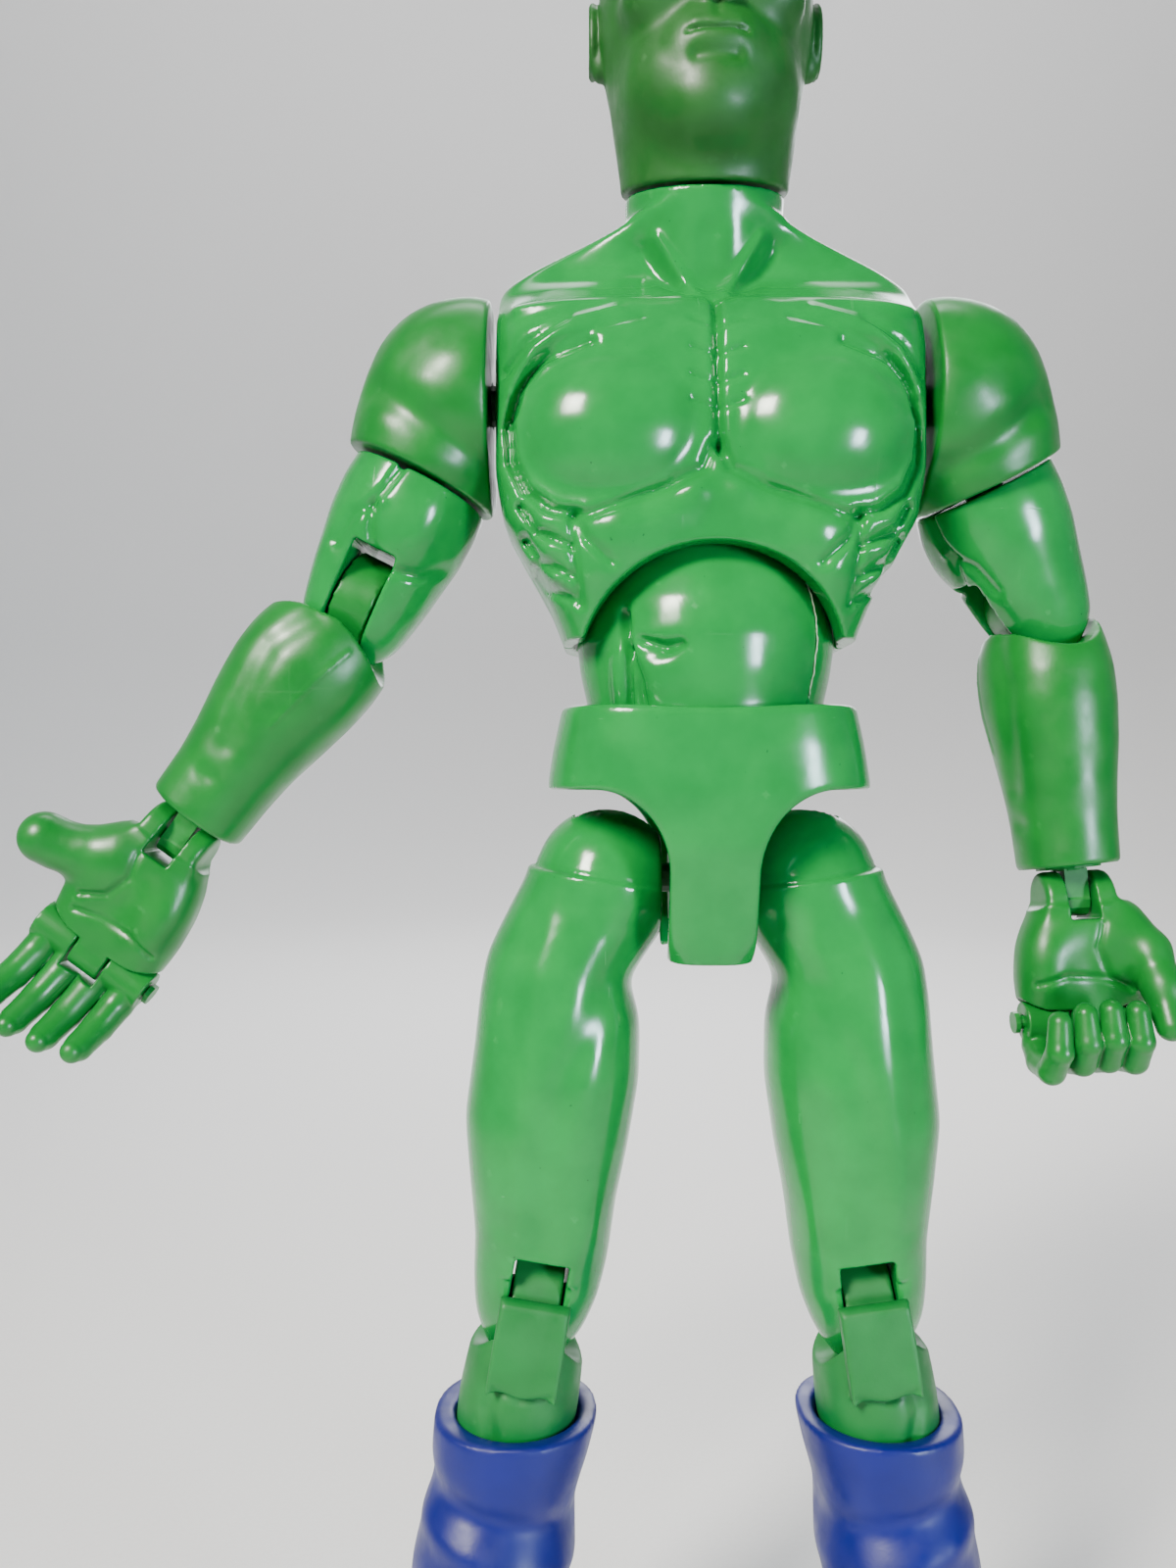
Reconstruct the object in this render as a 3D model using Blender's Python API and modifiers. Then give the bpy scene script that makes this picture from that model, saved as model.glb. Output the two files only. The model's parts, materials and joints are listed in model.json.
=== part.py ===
"""Jointed action figure: a hard plastic body in glued halves, soft vinyl head, hands and boots.

The figure stands upright on its soles and faces -Y.  +X is the figure's own left side.
Lengths below are millimetres and angles are degrees; the mesh is made in metres.
"""

import math

import bmesh
import bpy
from mathutils import Matrix, Vector

MM = 0.001
GAP = 0.3

# where the figure's centre line stands, so that the origin is under the middle of its bounding box
STAND_X = 18.499
STAND_Y = 6.700

# waist: one ball between the chest and the pelvis
WAIST_Z = 183.0
BALL_CAVITY_R = 19.3
ABDOMEN_TURN = -40.0

# chest and neck
CHEST_HALF_WIDTH = 30.5
SHOULDER_Z = 218.6
NECK_Z = 249.5
NECK_TILT = 15.0
NECK_R = 11.6

# arms
SHOULDER_R = 14.8
SHOULDER_X = 31.1
BICEP_X = 41.6
BICEP_Z = 207.15
ARM_TILT = 26.8
UPPER_ARM_LENGTH = 19.5
ELBOW_R = 7.8
FOREARM_LENGTH = 40.2
WRIST_DROP = 4.8

# legs
HIP_X = 14.5
HIP_Z = 149.0
HIP_DOME_R = 10.5
THIGH_LENGTH = 62.0
KNEE_R = 8.0

# the pose each limb is held in at rest
RIGHT = {
    "name": "right",
    "side": -1,
    "swing": 0.0,
    "twist": 0.0,
    "flex": 0.0,
    "carry": 11.1,
    "hand_tilt": 36.0,
    "hand_lift": 0.0,
    "knuckle_drop": 20.5,
    "leg_tilt": 9.6,
    "fist": False,
}
LEFT = {
    "name": "left",
    "side": 1,
    "swing": 10.0,
    "twist": 80.0,
    "flex": 23.0,
    "carry": 11.1,
    "hand_tilt": 3.0,
    "hand_lift": 6.0,
    "knuckle_drop": 17.5,
    "leg_tilt": 8.0,
    "fist": True,
}

ROUND = 20


# ---------------------------------------------------------------- scene and materials


def clear_scene():
    for ob in list(bpy.data.objects):
        bpy.data.objects.remove(ob, do_unlink=True)
    for collection in list(bpy.data.collections):
        bpy.data.collections.remove(collection)


def make_collection(name):
    collection = bpy.data.collections.new(name)
    bpy.context.scene.collection.children.link(collection)
    return collection


clear_scene()
PARTS = make_collection("action_figure")
CUTTERS = make_collection("action_figure_cutters")
CUTTERS.hide_render = True


def material(name, colour, roughness):
    mat = bpy.data.materials.new(name)
    mat.use_nodes = True
    shader = mat.node_tree.nodes["Principled BSDF"]
    shader.inputs["Base Color"].default_value = (*colour, 1.0)
    shader.inputs["Roughness"].default_value = roughness
    mat.diffuse_color = (*colour, 1.0)
    return mat


GREEN_GLOSS = (0.026, 0.371, 0.102)
GREEN_SATIN = (0.032, 0.305, 0.070)
GREEN_HEAD = (0.045, 0.223, 0.062)
GREEN_SHIN = (0.070, 0.376, 0.092)
BOOT_BLUE = (0.010, 0.019, 0.283)
INNER_GREY = (0.30, 0.31, 0.32)


# ---------------------------------------------------------------- building blocks


def finish(ob, colour, roughness):
    """Give a part its own material and put it among the parts."""
    ob.data.materials.append(material(ob.name, colour, roughness))
    ob.data.polygons.foreach_set("use_smooth", [True] * len(ob.data.polygons))
    ob.data.set_sharp_from_angle(angle=math.radians(35))
    PARTS.objects.link(ob)
    return ob


def as_cutter(ob):
    ob.hide_render = True
    ob.display_type = "WIRE"
    CUTTERS.objects.link(ob)
    return ob


def from_bmesh(name, bm, matrix):
    """An object whose mesh is in the millimetre frame of matrix and whose origin is that frame's."""
    bmesh.ops.recalc_face_normals(bm, faces=bm.faces)
    bmesh.ops.scale(bm, vec=(MM, MM, MM), verts=bm.verts)
    mesh = bpy.data.meshes.new(name)
    bm.to_mesh(mesh)
    bm.free()
    ob = bpy.data.objects.new(name, mesh)
    placed = matrix.copy()
    placed.translation = matrix.translation * MM
    ob.matrix_world = placed
    return ob


def boolean(ob, tool, operation):
    modifier = ob.modifiers.new(operation.lower(), "BOOLEAN")
    modifier.operation = operation
    modifier.solver = "EXACT"
    modifier.object = tool
    return ob


def cut(ob, *tools):
    for tool in tools:
        boolean(ob, as_cutter(tool), "DIFFERENCE")
    return ob


def join(ob, *tools):
    for tool in tools:
        boolean(ob, as_cutter(tool), "UNION")
    return ob


def section(x0, x1, y0, y1, z, power, count):
    """A level rounded outline that fills the box from (x0, y0) to (x1, y1)."""
    points = []
    for step in range(count):
        angle = 2 * math.pi * step / count
        c = math.cos(angle)
        s = math.sin(angle)
        x = math.copysign(abs(c) ** (2 / power), c)
        y = math.copysign(abs(s) ** (2 / power), s)
        points.append((0.5 * (x0 + x1) + 0.5 * (x1 - x0) * x, 0.5 * (y0 + y1) + 0.5 * (y1 - y0) * y, z))
    return points


def skin(name, rings, matrix):
    """A closed body through a row of outlines that have the same number of points."""
    bm = bmesh.new()
    rows = [[bm.verts.new(point) for point in ring] for ring in rings]
    count = len(rows[0])
    for low, high in zip(rows[:-1], rows[1:]):
        for i in range(count):
            j = (i + 1) % count
            bm.faces.new((low[i], low[j], high[j], high[i]))
    bm.faces.new(list(reversed(rows[0])))
    bm.faces.new(rows[-1])
    return from_bmesh(name, bm, matrix)


def loft(name, rows, matrix, power=2.3, count=ROUND):
    """rows hold (z, x0, x1, y0, y1) from one end to the other."""
    return skin(name, [section(x0, x1, y0, y1, z, power, count) for z, x0, x1, y0, y1 in rows], matrix)


def rod(name, matrix, axis, radius, low, high, count=12):
    """A cylinder along the frame's X, Y or Z axis, from low to high."""
    bm = bmesh.new()
    bmesh.ops.create_cone(
        bm, cap_ends=True, segments=count, radius1=radius, radius2=radius, depth=high - low
    )
    bmesh.ops.translate(bm, vec=(0, 0, 0.5 * (low + high)), verts=bm.verts)
    turn = {"X": Matrix.Rotation(math.pi / 2, 3, "Y"), "Y": Matrix.Rotation(-math.pi / 2, 3, "X")}
    if axis in turn:
        bmesh.ops.rotate(bm, cent=(0, 0, 0), matrix=turn[axis], verts=bm.verts)
    return from_bmesh(name, bm, matrix)


def block(name, matrix, x0, x1, y0, y1, z0, z1):
    bm = bmesh.new()
    bmesh.ops.create_cube(bm, size=1)
    bmesh.ops.scale(bm, vec=(x1 - x0, y1 - y0, z1 - z0), verts=bm.verts)
    bmesh.ops.translate(bm, vec=(0.5 * (x0 + x1), 0.5 * (y0 + y1), 0.5 * (z0 + z1)), verts=bm.verts)
    return from_bmesh(name, bm, matrix)


def ball(name, matrix, radius, u=ROUND, v=12):
    bm = bmesh.new()
    bmesh.ops.create_uvsphere(bm, u_segments=u, v_segments=v, radius=radius)
    return from_bmesh(name, bm, matrix)


def prism(name, matrix, outline, y0, y1):
    """A slab along Y with the outline given as (x, z) points."""
    return skin(name, [[(x, y0, z) for x, z in outline], [(x, y1, z) for x, z in outline]], matrix)


def turned(name, matrix, profile, steps=ROUND):
    """A closed profile of (radius, z) points, swept round the frame's Z axis."""
    mesh = bpy.data.meshes.new(name)
    points = [(r * MM, 0, z * MM) for r, z in profile]
    edges = [(i, (i + 1) % len(points)) for i in range(len(points))]
    mesh.from_pydata(points, edges, [])
    ob = bpy.data.objects.new(name, mesh)
    placed = matrix.copy()
    placed.translation = matrix.translation * MM
    ob.matrix_world = placed
    screw = ob.modifiers.new("turned", "SCREW")
    screw.steps = steps
    screw.render_steps = steps
    screw.use_merge_vertices = True
    screw.merge_threshold = 0.00001
    screw.use_smooth_shade = True
    return ob


def tube(name, matrix, path, radii, count=8, squash=1.0):
    """A solid rod of changing radius along path, which bends in the plane X = constant or anywhere."""
    rings = []
    points = [Vector(p) for p in path]
    for i, point in enumerate(points):
        ahead = points[min(i + 1, len(points) - 1)] - points[max(i - 1, 0)]
        ahead.normalize()
        across = Vector((1, 0, 0)) - ahead * ahead.x
        if across.length < 0.3:
            across = Vector((0, 0, 1)) - ahead * ahead.z
        across.normalize()
        other = ahead.cross(across)
        ring = []
        for step in range(count):
            angle = 2 * math.pi * step / count
            ring.append(point + radii[i] * (math.cos(angle) * across * squash + math.sin(angle) * other))
        rings.append(ring)
    return skin(name, rings, matrix)


# ---------------------------------------------------------------- frames


def at(x, y, z):
    return Matrix.Translation((x, y, z))


def turn(degrees, axis):
    return Matrix.Rotation(math.radians(degrees), 4, axis)


WORLD = Matrix.Identity(4)
NECK = at(0, 0, NECK_Z) @ turn(NECK_TILT, "X")


def shoulder_frame(limb):
    return at(limb["side"] * SHOULDER_X, 0, SHOULDER_Z) @ turn(limb["swing"], "X")


def bicep_frame(limb):
    s = limb["side"]
    reach = at(s * (BICEP_X - SHOULDER_X), 0, BICEP_Z - SHOULDER_Z)
    return shoulder_frame(limb) @ reach @ turn(-s * ARM_TILT, "Y")


def upper_arm_frame(limb):
    return bicep_frame(limb) @ turn(-limb["side"] * limb["twist"], "Z")


def forearm_frame(limb):
    s = limb["side"]
    elbow = upper_arm_frame(limb) @ at(0, 0, -UPPER_ARM_LENGTH)
    return elbow @ turn(-limb["flex"], "X") @ turn(-s * limb["carry"], "Y")


def elbow_frame(limb):
    """On the elbow pin, with X along the pin, as the upper arm holds it."""
    return upper_arm_frame(limb) @ at(0, 0, -UPPER_ARM_LENGTH)


def hand_frame(limb):
    """On the wrist pin, with X along the pin and the palm facing -Y."""
    s = limb["side"]
    middle = forearm_frame(limb) @ Vector((0, 0, -FOREARM_LENGTH - WRIST_DROP))
    return Matrix.Translation(middle) @ turn(-s * limb["hand_tilt"], "Y") @ turn(-limb["hand_lift"], "X")


def knuckle_frame(limb):
    return hand_frame(limb) @ at(0, 0, -limb["knuckle_drop"])


def hip_frame(limb):
    s = limb["side"]
    return at(s * HIP_X, 0, HIP_Z) @ turn(-s * limb["leg_tilt"], "Y")


def knee_frame(limb):
    return hip_frame(limb) @ at(0, 0, -THIGH_LENGTH)


# ---------------------------------------------------------------- pelvis and waist


def half_space(name, matrix, front):
    """A slab that removes one half and leaves half the parting gap."""
    if front:
        return block(name, matrix, -60, 60, -GAP / 2, 60, 100, 300)
    return block(name, matrix, -60, 60, -60, GAP / 2, 100, 300)


def leg_opening(name, side):
    arch = [
        (5.83, 120),
        (5.86, 147),
        (6.4, 152.6),
        (8.6, 157.4),
        (13.0, 160.8),
        (18.0, 161.9),
        (34, 162.2),
        (34, 120),
    ]
    outline = [(side * x, z) for x, z in arch]
    return prism(name, WORLD, outline, -30, 30)


def pelvis_half(name, front):
    rows = [
        (137.6, -5.6, 5.6, -13.2, 13.2),
        (139.2, -6.8, 6.8, -14.2, 14.2),
        (146.0, -12.0, 12.0, -15.6, 15.6),
        (154.0, -21.0, 21.0, -18.2, 18.2),
        (161.0, -23.2, 23.2, -19.6, 19.6),
        (167.0, -22.3, 22.3, -20.0, 20.0),
        (172.6, -21.6, 21.6, -19.9, 19.9),
        (174.0, -20.7, 20.7, -19.2, 19.2),
    ]
    hollow = [
        (130.0, -4.0, 4.0, -11.8, 11.8),
        (146.0, -11.0, 11.0, -13.2, 13.2),
        (154.0, -18.8, 18.8, -15.8, 15.8),
        (161.0, -20.8, 20.8, -17.3, 17.3),
        (171.0, -19.4, 19.4, -17.8, 17.8),
        (178.0, -18.2, 18.2, -17.6, 17.6),
    ]
    shell = loft(name, rows, WORLD, power=2.9)
    cut(shell, loft(name + "_hollow", hollow, WORLD))
    cut(shell, leg_opening(name + "_leg_left", 1), leg_opening(name + "_leg_right", -1))
    cut(shell, half_space(name + "_parting", WORLD, front))
    return finish(shell, GREEN_GLOSS, 0.22)


def hip_block():
    """The bridge between the leg openings that both hip axles turn in."""
    body = block("hip_block", WORLD, -4.8, 4.8, -10.4, 10.4, 142.0, 157.8)
    for side in (-1, 1):
        cut(body, ball("hip_block_seat", at(side * HIP_X, 0, HIP_Z), HIP_DOME_R + 0.5))
    cut(body, rod("hip_block_bore", at(0, 0, HIP_Z), "X", 2.32, -12, 12))
    return finish(body, INNER_GREY, 0.5)


def waist_post():
    body = rod("waist_post", WORLD, "Z", 3.0, 158.3, 167.6)
    join(body, rod("waist_post_flange", WORLD, "Z", 5.0, 167.3, 169.0))
    return finish(body, INNER_GREY, 0.5)


def abdomen_half(name, front):
    profile = [
        (3.15, 164.0),
        (3.15, 167.0),
        (14.8, 167.0),
        (15.0, 172.0),
        (2.7, 172.0),
        (2.7, 174.0),
        (15.2, 174.0),
        (16.2, 178.9),
        (16.8, 183.0),
        (16.2, 187.0),
        (14.2, 191.8),
        (10.4, 196.2),
        (11.6, 197.8),
        (13.6, 196.0),
        (16.5, 192.0),
        (18.2, 187.7),
        (18.8, 183.0),
        (18.2, 178.4),
        (17.2, 174.0),
        (16.6, 166.0),
        (16.0, 164.0),
    ]
    profile.reverse()
    shell = turned(name, turn(ABDOMEN_TURN, "Z"), profile)
    cut(shell, half_space(name + "_parting", turn(ABDOMEN_TURN, "Z"), front))
    return finish(shell, GREEN_GLOSS, 0.22)


def waist_link():
    """Turns in the abdomen's web and carries the cross on its fork."""
    body = rod("waist_link", WORLD, "Z", 2.55, 170.5, 175.5)
    join(body, rod("waist_link_flange", WORLD, "Z", 4.6, 169.4, 171.7))
    join(body, rod("waist_link_base", WORLD, "Z", 6.0, 174.3, 176.8))
    for side in (-1, 1):
        x0, x1 = sorted((side * 3.3, side * 5.3))
        join(body, block("waist_link_arm", WORLD, x0, x1, -2.2, 2.2, 176.0, 186.0))
    cut(body, rod("waist_link_bore", at(0, 0, WAIST_Z), "X", 1.62, -9, 9))
    return finish(body, INNER_GREY, 0.5)


def waist_cross():
    middle = at(0, 0, WAIST_Z)
    body = rod("waist_cross", middle, "X", 1.5, -5.3, 5.3)
    join(body, rod("waist_cross_y", middle, "Y", 1.5, -5.3, 5.3))
    join(body, block("waist_cross_hub", middle, -2.4, 2.4, -2.3, 2.3, -2.2, 2.2))
    return finish(body, INNER_GREY, 0.5)


def chest_post():
    """Hangs in the chest and holds the cross from above."""
    body = rod("chest_post", WORLD, "Z", 4.0, 191.0, 207.0)
    join(body, rod("chest_post_flange", WORLD, "Z", 6.5, 206.3, 208.4))
    join(body, block("chest_post_bridge", WORLD, -4.0, 4.0, -5.3, 5.3, 190.0, 193.0))
    for side in (-1, 1):
        y0, y1 = sorted((side * 3.3, side * 5.3))
        join(body, block("chest_post_arm", WORLD, -2.2, 2.2, y0, y1, 180.0, 191.0))
    cut(body, rod("chest_post_bore", at(0, 0, WAIST_Z), "Y", 1.62, -9, 9))
    return finish(body, INNER_GREY, 0.5)


# ---------------------------------------------------------------- chest, neck and head


def chest_half(name, front):
    w = CHEST_HALF_WIDTH
    rows = [
        (182.6, -20.7, 20.7, -16.6, 16.2),
        (188.0, -22.6, 22.6, -18.6, 17.5),
        (194.0, -26.0, 26.0, -20.0, 18.5),
        (200.0, -29.4, 29.4, -20.8, 19.4),
        (207.0, -w, w, -21.4, 20.0),
        (216.0, -w, w, -21.2, 20.0),
        (226.0, -w, w, -18.6, 18.6),
        (232.5, -w, w, -14.2, 15.4),
        (236.0, -27.5, 27.5, -11.5, 13.6),
        (239.5, -19.5, 19.5, -11.0, 13.0),
        (243.0, -13.0, 13.0, -11.3, 12.8),
        (247.0, -11.8, 11.8, -11.4, 12.2),
        (256.0, -11.6, 11.6, -13.2, 10.0),
    ]
    # square shoulders that round off into the neck
    rings = [section(x0, x1, y0, y1, z, 3.4 if z < 234 else 2.2, ROUND) for z, x0, x1, y0, y1 in rows]
    shell = skin(name, rings, WORLD)
    steps = [math.pi * i / 16 for i in range(17)]
    arch = [(18.8 * math.cos(a), 176.6 + 18.7 * math.sin(a)) for a in steps]
    arch += [(-18.8, 170.0), (18.8, 170.0)]
    cut(shell, prism(name + "_arch", WORLD, arch, -40, 40))
    cut(shell, ball(name + "_ball", at(0, 0, WAIST_Z), BALL_CAVITY_R, ROUND, 14))
    hollow = [
        (206.0, -25.4, 25.4, -16.5, 15.5),
        (216.0, -25.4, 25.4, -17.0, 16.0),
        (226.0, -25.4, 25.4, -14.5, 14.5),
        (229.5, -22.0, 22.0, -10.5, 11.5),
    ]
    cut(shell, loft(name + "_hollow", hollow, WORLD, power=4.0))
    cut(shell, rod(name + "_post_bore", WORLD, "Z", 4.15, 195, 212))
    cut(shell, rod(name + "_peg_bore", at(0, 0, SHOULDER_Z), "X", 3.2, -45, 45))
    cut(shell, rod(name + "_neck_bore", NECK, "Z", 4.2, -26, 20))
    cut(shell, block(name + "_neck_top", NECK, -30, 30, -30, 30, -0.2, 30))
    cut(shell, half_space(name + "_parting", WORLD, front))
    return finish(shell, GREEN_GLOSS, 0.22)


def neck_peg():
    body = rod("neck_peg", NECK, "Z", 4.0, -24.0, 9.0)
    join(body, rod("neck_peg_flange", NECK, "Z", 6.2, -25.0, -23.2))
    return finish(body, INNER_GREY, 0.5)


def head():
    down = NECK.inverted()
    rows = [
        (243.0, -12.1, 12.1, -10.4, 13.6),
        (248.0, -12.1, 12.1, -12.0, 12.4),
        (251.5, -12.3, 12.3, -16.2, 12.2),
        (254.5, -13.0, 13.0, -18.6, 12.4),
        (259.5, -14.6, 14.6, -19.2, 13.4),
        (266.0, -15.3, 15.3, -18.8, 15.2),
        (273.0, -15.5, 15.5, -18.4, 16.6),
        (280.0, -15.0, 15.0, -17.2, 16.8),
        (286.0, -12.6, 12.6, -13.6, 14.6),
        (290.0, -8.8, 8.8, -9.0, 10.6),
        (292.0, -3.6, 3.6, -3.6, 5.2),
    ]
    rings = []
    for z, x0, x1, y0, y1 in rows:
        rings.append([down @ Vector(p) for p in section(x0, x1, y0, y1, z, 2.2, ROUND)])
    body = skin("head", rings, NECK)
    for side in (-1, 1):
        ear = [(side * 14.6, 0, 268.0), (side * 16.2, 0.6, 270.0), (side * 17.0, 1.0, 274.0), (side * 16.4, 1.6, 277.5)]
        path = [down @ Vector(p) for p in ear]
        join(body, tube("head_ear", NECK, path, (1.4, 2.6, 3.2, 2.0), 10, 0.5))
    nose = [down @ Vector(p) for p in ((0, -15.6, 279), (0, -18.2, 273), (0, -19.6, 269.6), (0, -17.0, 267.6))]
    join(body, tube("head_nose", NECK, nose, (1.4, 2.0, 2.5, 1.8), 8))
    cut(body, block("head_skirt", NECK, -30, 30, -30, 30, -30, 0.2))
    cut(body, rod("head_socket", NECK, "Z", 4.2, -5, 9.6))
    return finish(body, GREEN_HEAD, 0.55)


# ---------------------------------------------------------------- arms


def shoulder(limb):
    """The deltoid: a flat disc against the chest, curving down to the bicep's turning face."""
    s = limb["side"]
    inner = [(SHOULDER_X, 203.8), (31.3, 203.4), (31.6, 203.0), (32.0, 202.8), (32.4, 202.5)]
    outer = [(SHOULDER_X, 233.2), (37.2, 233.5), (43.4, 230.2), (48.0, 222.4), (50.8, 211.8)]
    depth = (14.4, 14.8, 14.0, 12.4, 10.2)
    origin = shoulder_frame(limb)
    rings = []
    for (xi, zi), (xo, zo), d in zip(inner, outer, depth):
        ring = []
        for step in range(ROUND):
            angle = 2 * math.pi * step / ROUND
            t = 0.5 + 0.5 * math.cos(angle)
            x = xi + (xo - xi) * t
            z = zi + (zo - zi) * t
            ring.append((s * (x - SHOULDER_X), d * math.sin(angle), z - SHOULDER_Z))
        rings.append(ring)
    body = skin(limb["name"] + "_shoulder", rings, origin)
    cut(body, rod(limb["name"] + "_shoulder_bore", origin, "X", 3.1, -6, 6))
    cut(body, rod(limb["name"] + "_shoulder_bicep_bore", bicep_frame(limb), "Z", 3.1, -5, 6.2))
    return finish(body, GREEN_SATIN, 0.38)


def shoulder_peg(limb):
    s = limb["side"]
    frame = at(0, 0, SHOULDER_Z) @ turn(limb["swing"], "X")
    x0, x1 = sorted((s * 24.0, s * (SHOULDER_X + 5.6)))
    body = rod(limb["name"] + "_shoulder_peg", frame, "X", 3.0, x0, x1)
    x0, x1 = sorted((s * 22.2, s * 24.6))
    join(body, rod(limb["name"] + "_shoulder_peg_head", frame, "X", 5.0, x0, x1))
    return finish(body, INNER_GREY, 0.5)


def bicep_peg(limb):
    body = rod(limb["name"] + "_bicep_peg", bicep_frame(limb), "Z", 2.9, -5.6, 5.8)
    join(body, rod(limb["name"] + "_bicep_peg_head", bicep_frame(limb), "Z", 3.9, -6.4, -4.6))
    return finish(body, INNER_GREY, 0.5)


def upper_arm(limb):
    frame = upper_arm_frame(limb)
    elbow = elbow_frame(limb)
    rows = [
        (-0.4, -10.0, 10.0, -10.0, 10.0),
        (-4.0, -10.4, 10.4, -10.6, 10.3),
        (-9.0, -10.0, 10.0, -10.2, 9.8),
        (-14.0, -8.9, 8.9, -8.6, 8.8),
        (-19.5, -8.3, 8.3, -7.8, 7.8),
        (-23.5, -7.8, 7.8, -6.7, 6.7),
        (-26.2, -6.8, 6.8, -4.0, 4.0),
        (-27.3, -5.6, 5.6, -1.2, 1.2),
    ]
    name = limb["name"] + "_upper_arm"
    body = loft(name, rows, frame)
    cut(body, rod(name + "_peg_bore", frame, "Z", 3.05, -5.0, 4))
    cut(body, rod(name + "_head_bore", frame, "Z", 4.1, -6.8, -4.2))
    cut(body, block(name + "_slot", elbow, -3.3, 3.3, -20, 20, -20, 7.2))
    cut(body, rod(name + "_pin_bore", elbow, "X", 1.55, -6.6, 6.6))
    return finish(body, GREEN_GLOSS, 0.22)


def elbow_pin(limb):
    body = rod(limb["name"] + "_elbow_pin", elbow_frame(limb), "X", 1.5, -6.4, 6.4)
    return finish(body, INNER_GREY, 0.4)


def forearm(limb):
    s = limb["side"]
    frame = forearm_frame(limb)
    pivot = elbow_frame(limb) @ turn(-limb["flex"], "X")
    end = -FOREARM_LENGTH
    rows = [
        (-2.0, -7.6, 7.6, -5.6, 7.6),
        (-6.0, -9.2, 9.8, -8.0, 8.6),
        (-11.0, -9.9, 11.0, -9.2, 9.2),
        (-17.0, -9.7, 10.8, -9.2, 9.2),
        (-24.0, -8.8, 9.4, -8.4, 8.6),
        (-31.0, -7.9, 8.2, -7.5, 7.8),
        (end + 1.4, -7.4, 7.4, -7.1, 7.1),
        (end, -6.9, 6.9, -6.6, 6.6),
    ]
    if s < 0:
        rows = [(z, -x1, -x0, y0, y1) for z, x0, x1, y0, y1 in rows]
    name = limb["name"] + "_forearm"
    body = loft(name, rows, frame)
    cut(body, rod(name + "_elbow_seat", pivot, "X", ELBOW_R + 0.4, -20, 20, 24))
    join(body, rod(name + "_eye", pivot, "X", 6.6, -2.95, 2.95, 20))
    join(body, block(name + "_tongue", pivot, -2.95, 2.95, -4.0, 5.0, -10.5, -2.0))
    cut(body, rod(name + "_pin_bore", pivot, "X", 1.62, -8, 8))
    cut(body, rod(name + "_cuff", frame, "Z", 5.2, end - 3, end + 2.2, 20))
    cut(body, rod(name + "_wrist_bore", frame, "Z", 2.62, end - 3, end + 10.0))
    return finish(body, GREEN_SATIN, 0.38)


def wrist_link(limb):
    frame = forearm_frame(limb)
    hand = hand_frame(limb)
    end = -FOREARM_LENGTH
    name = limb["name"] + "_wrist_link"
    body = rod(name, frame, "Z", 2.5, end - 0.4, end + 9.2)
    join(body, rod(name + "_collar", frame, "Z", 4.6, end - 0.1, end + 1.7, 20))
    join(body, block(name + "_tongue", hand, -1.7, 1.7, -2.3, 2.3, 0.0, 4.6))
    join(body, rod(name + "_eye", hand, "X", 2.4, -1.7, 1.7))
    cut(body, rod(name + "_pin_bore", hand, "X", 1.08, -4, 4, 12))
    return finish(body, GREEN_SATIN, 0.38)


def wrist_pin(limb):
    body = rod(limb["name"] + "_wrist_pin", hand_frame(limb), "X", 0.95, -4.6, 4.6, 12)
    return finish(body, INNER_GREY, 0.4)


def palm(limb):
    s = limb["side"]
    frame = hand_frame(limb)
    name = limb["name"] + "_palm"
    drop = limb["knuckle_drop"]
    rows = [
        (4.1, -4.4, 4.4, -1.4, 1.4),
        (3.4, -4.9, 4.9, -2.8, 2.7),
        (2.0, -5.2, 5.2, -3.9, 3.7),
        (0.2, -5.8, 5.8, -4.4, 4.1),
        (-2.6, -7.6, 7.8, -5.2, 4.6),
        (-0.36 * drop, -9.2, 9.6, -5.7, 4.9),
        (-0.60 * drop, -9.7, 9.9, -5.2, 4.8),
        (0.6 - drop + 3.4, -9.6, 9.4, -4.4, 4.4),
        (0.6 - drop, -9.2, 8.8, -3.1, 3.1),
    ]
    if s < 0:
        rows = [(z, -x1, -x0, y0, y1) for z, x0, x1, y0, y1 in rows]
    body = loft(name, rows, frame, power=2.6, count=20)
    knuckle = knuckle_frame(limb)
    if limb["fist"]:
        thumb = ((s * 6.4, -2.4, -4.0), (s * 8.8, -4.4, -8.0), (s * 9.3, -6.8, -13.0), (s * 8.9, -8.8, -18.4))
        radii = (3.0, 3.1, 2.8, 2.1)
    else:
        thumb = ((s * 6.0, -2.2, -6.4), (s * 9.8, -2.6, -8.8), (s * 13.0, -3.2, -9.6), (s * 15.2, -3.6, -9.9))
        radii = (3.4, 3.3, 3.3, 2.8)
    join(body, tube(name + "_thumb", frame, thumb, radii, 10))
    cut(body, rod(name + "_knuckle_seat", knuckle, "X", 3.5, -30, 30, 20))
    join(body, rod(name + "_knuckle_eye", knuckle, "X", 3.0, -2.6, 2.6, 16))
    join(body, block(name + "_knuckle_web", knuckle, -2.4, 2.4, -2.3, 2.3, 0.4, 5.0))
    cut(body, rod(name + "_knuckle_bore", knuckle, "X", 1.08, -4, 4, 12))
    cut(body, block(name + "_wrist_slot", frame, -2.1, 2.1, -9, 9, -2.9, 9))
    cut(body, rod(name + "_wrist_bore", frame, "X", 1.05, -4.8, 4.8, 12))
    return finish(body, GREEN_SATIN, 0.38)


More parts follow.
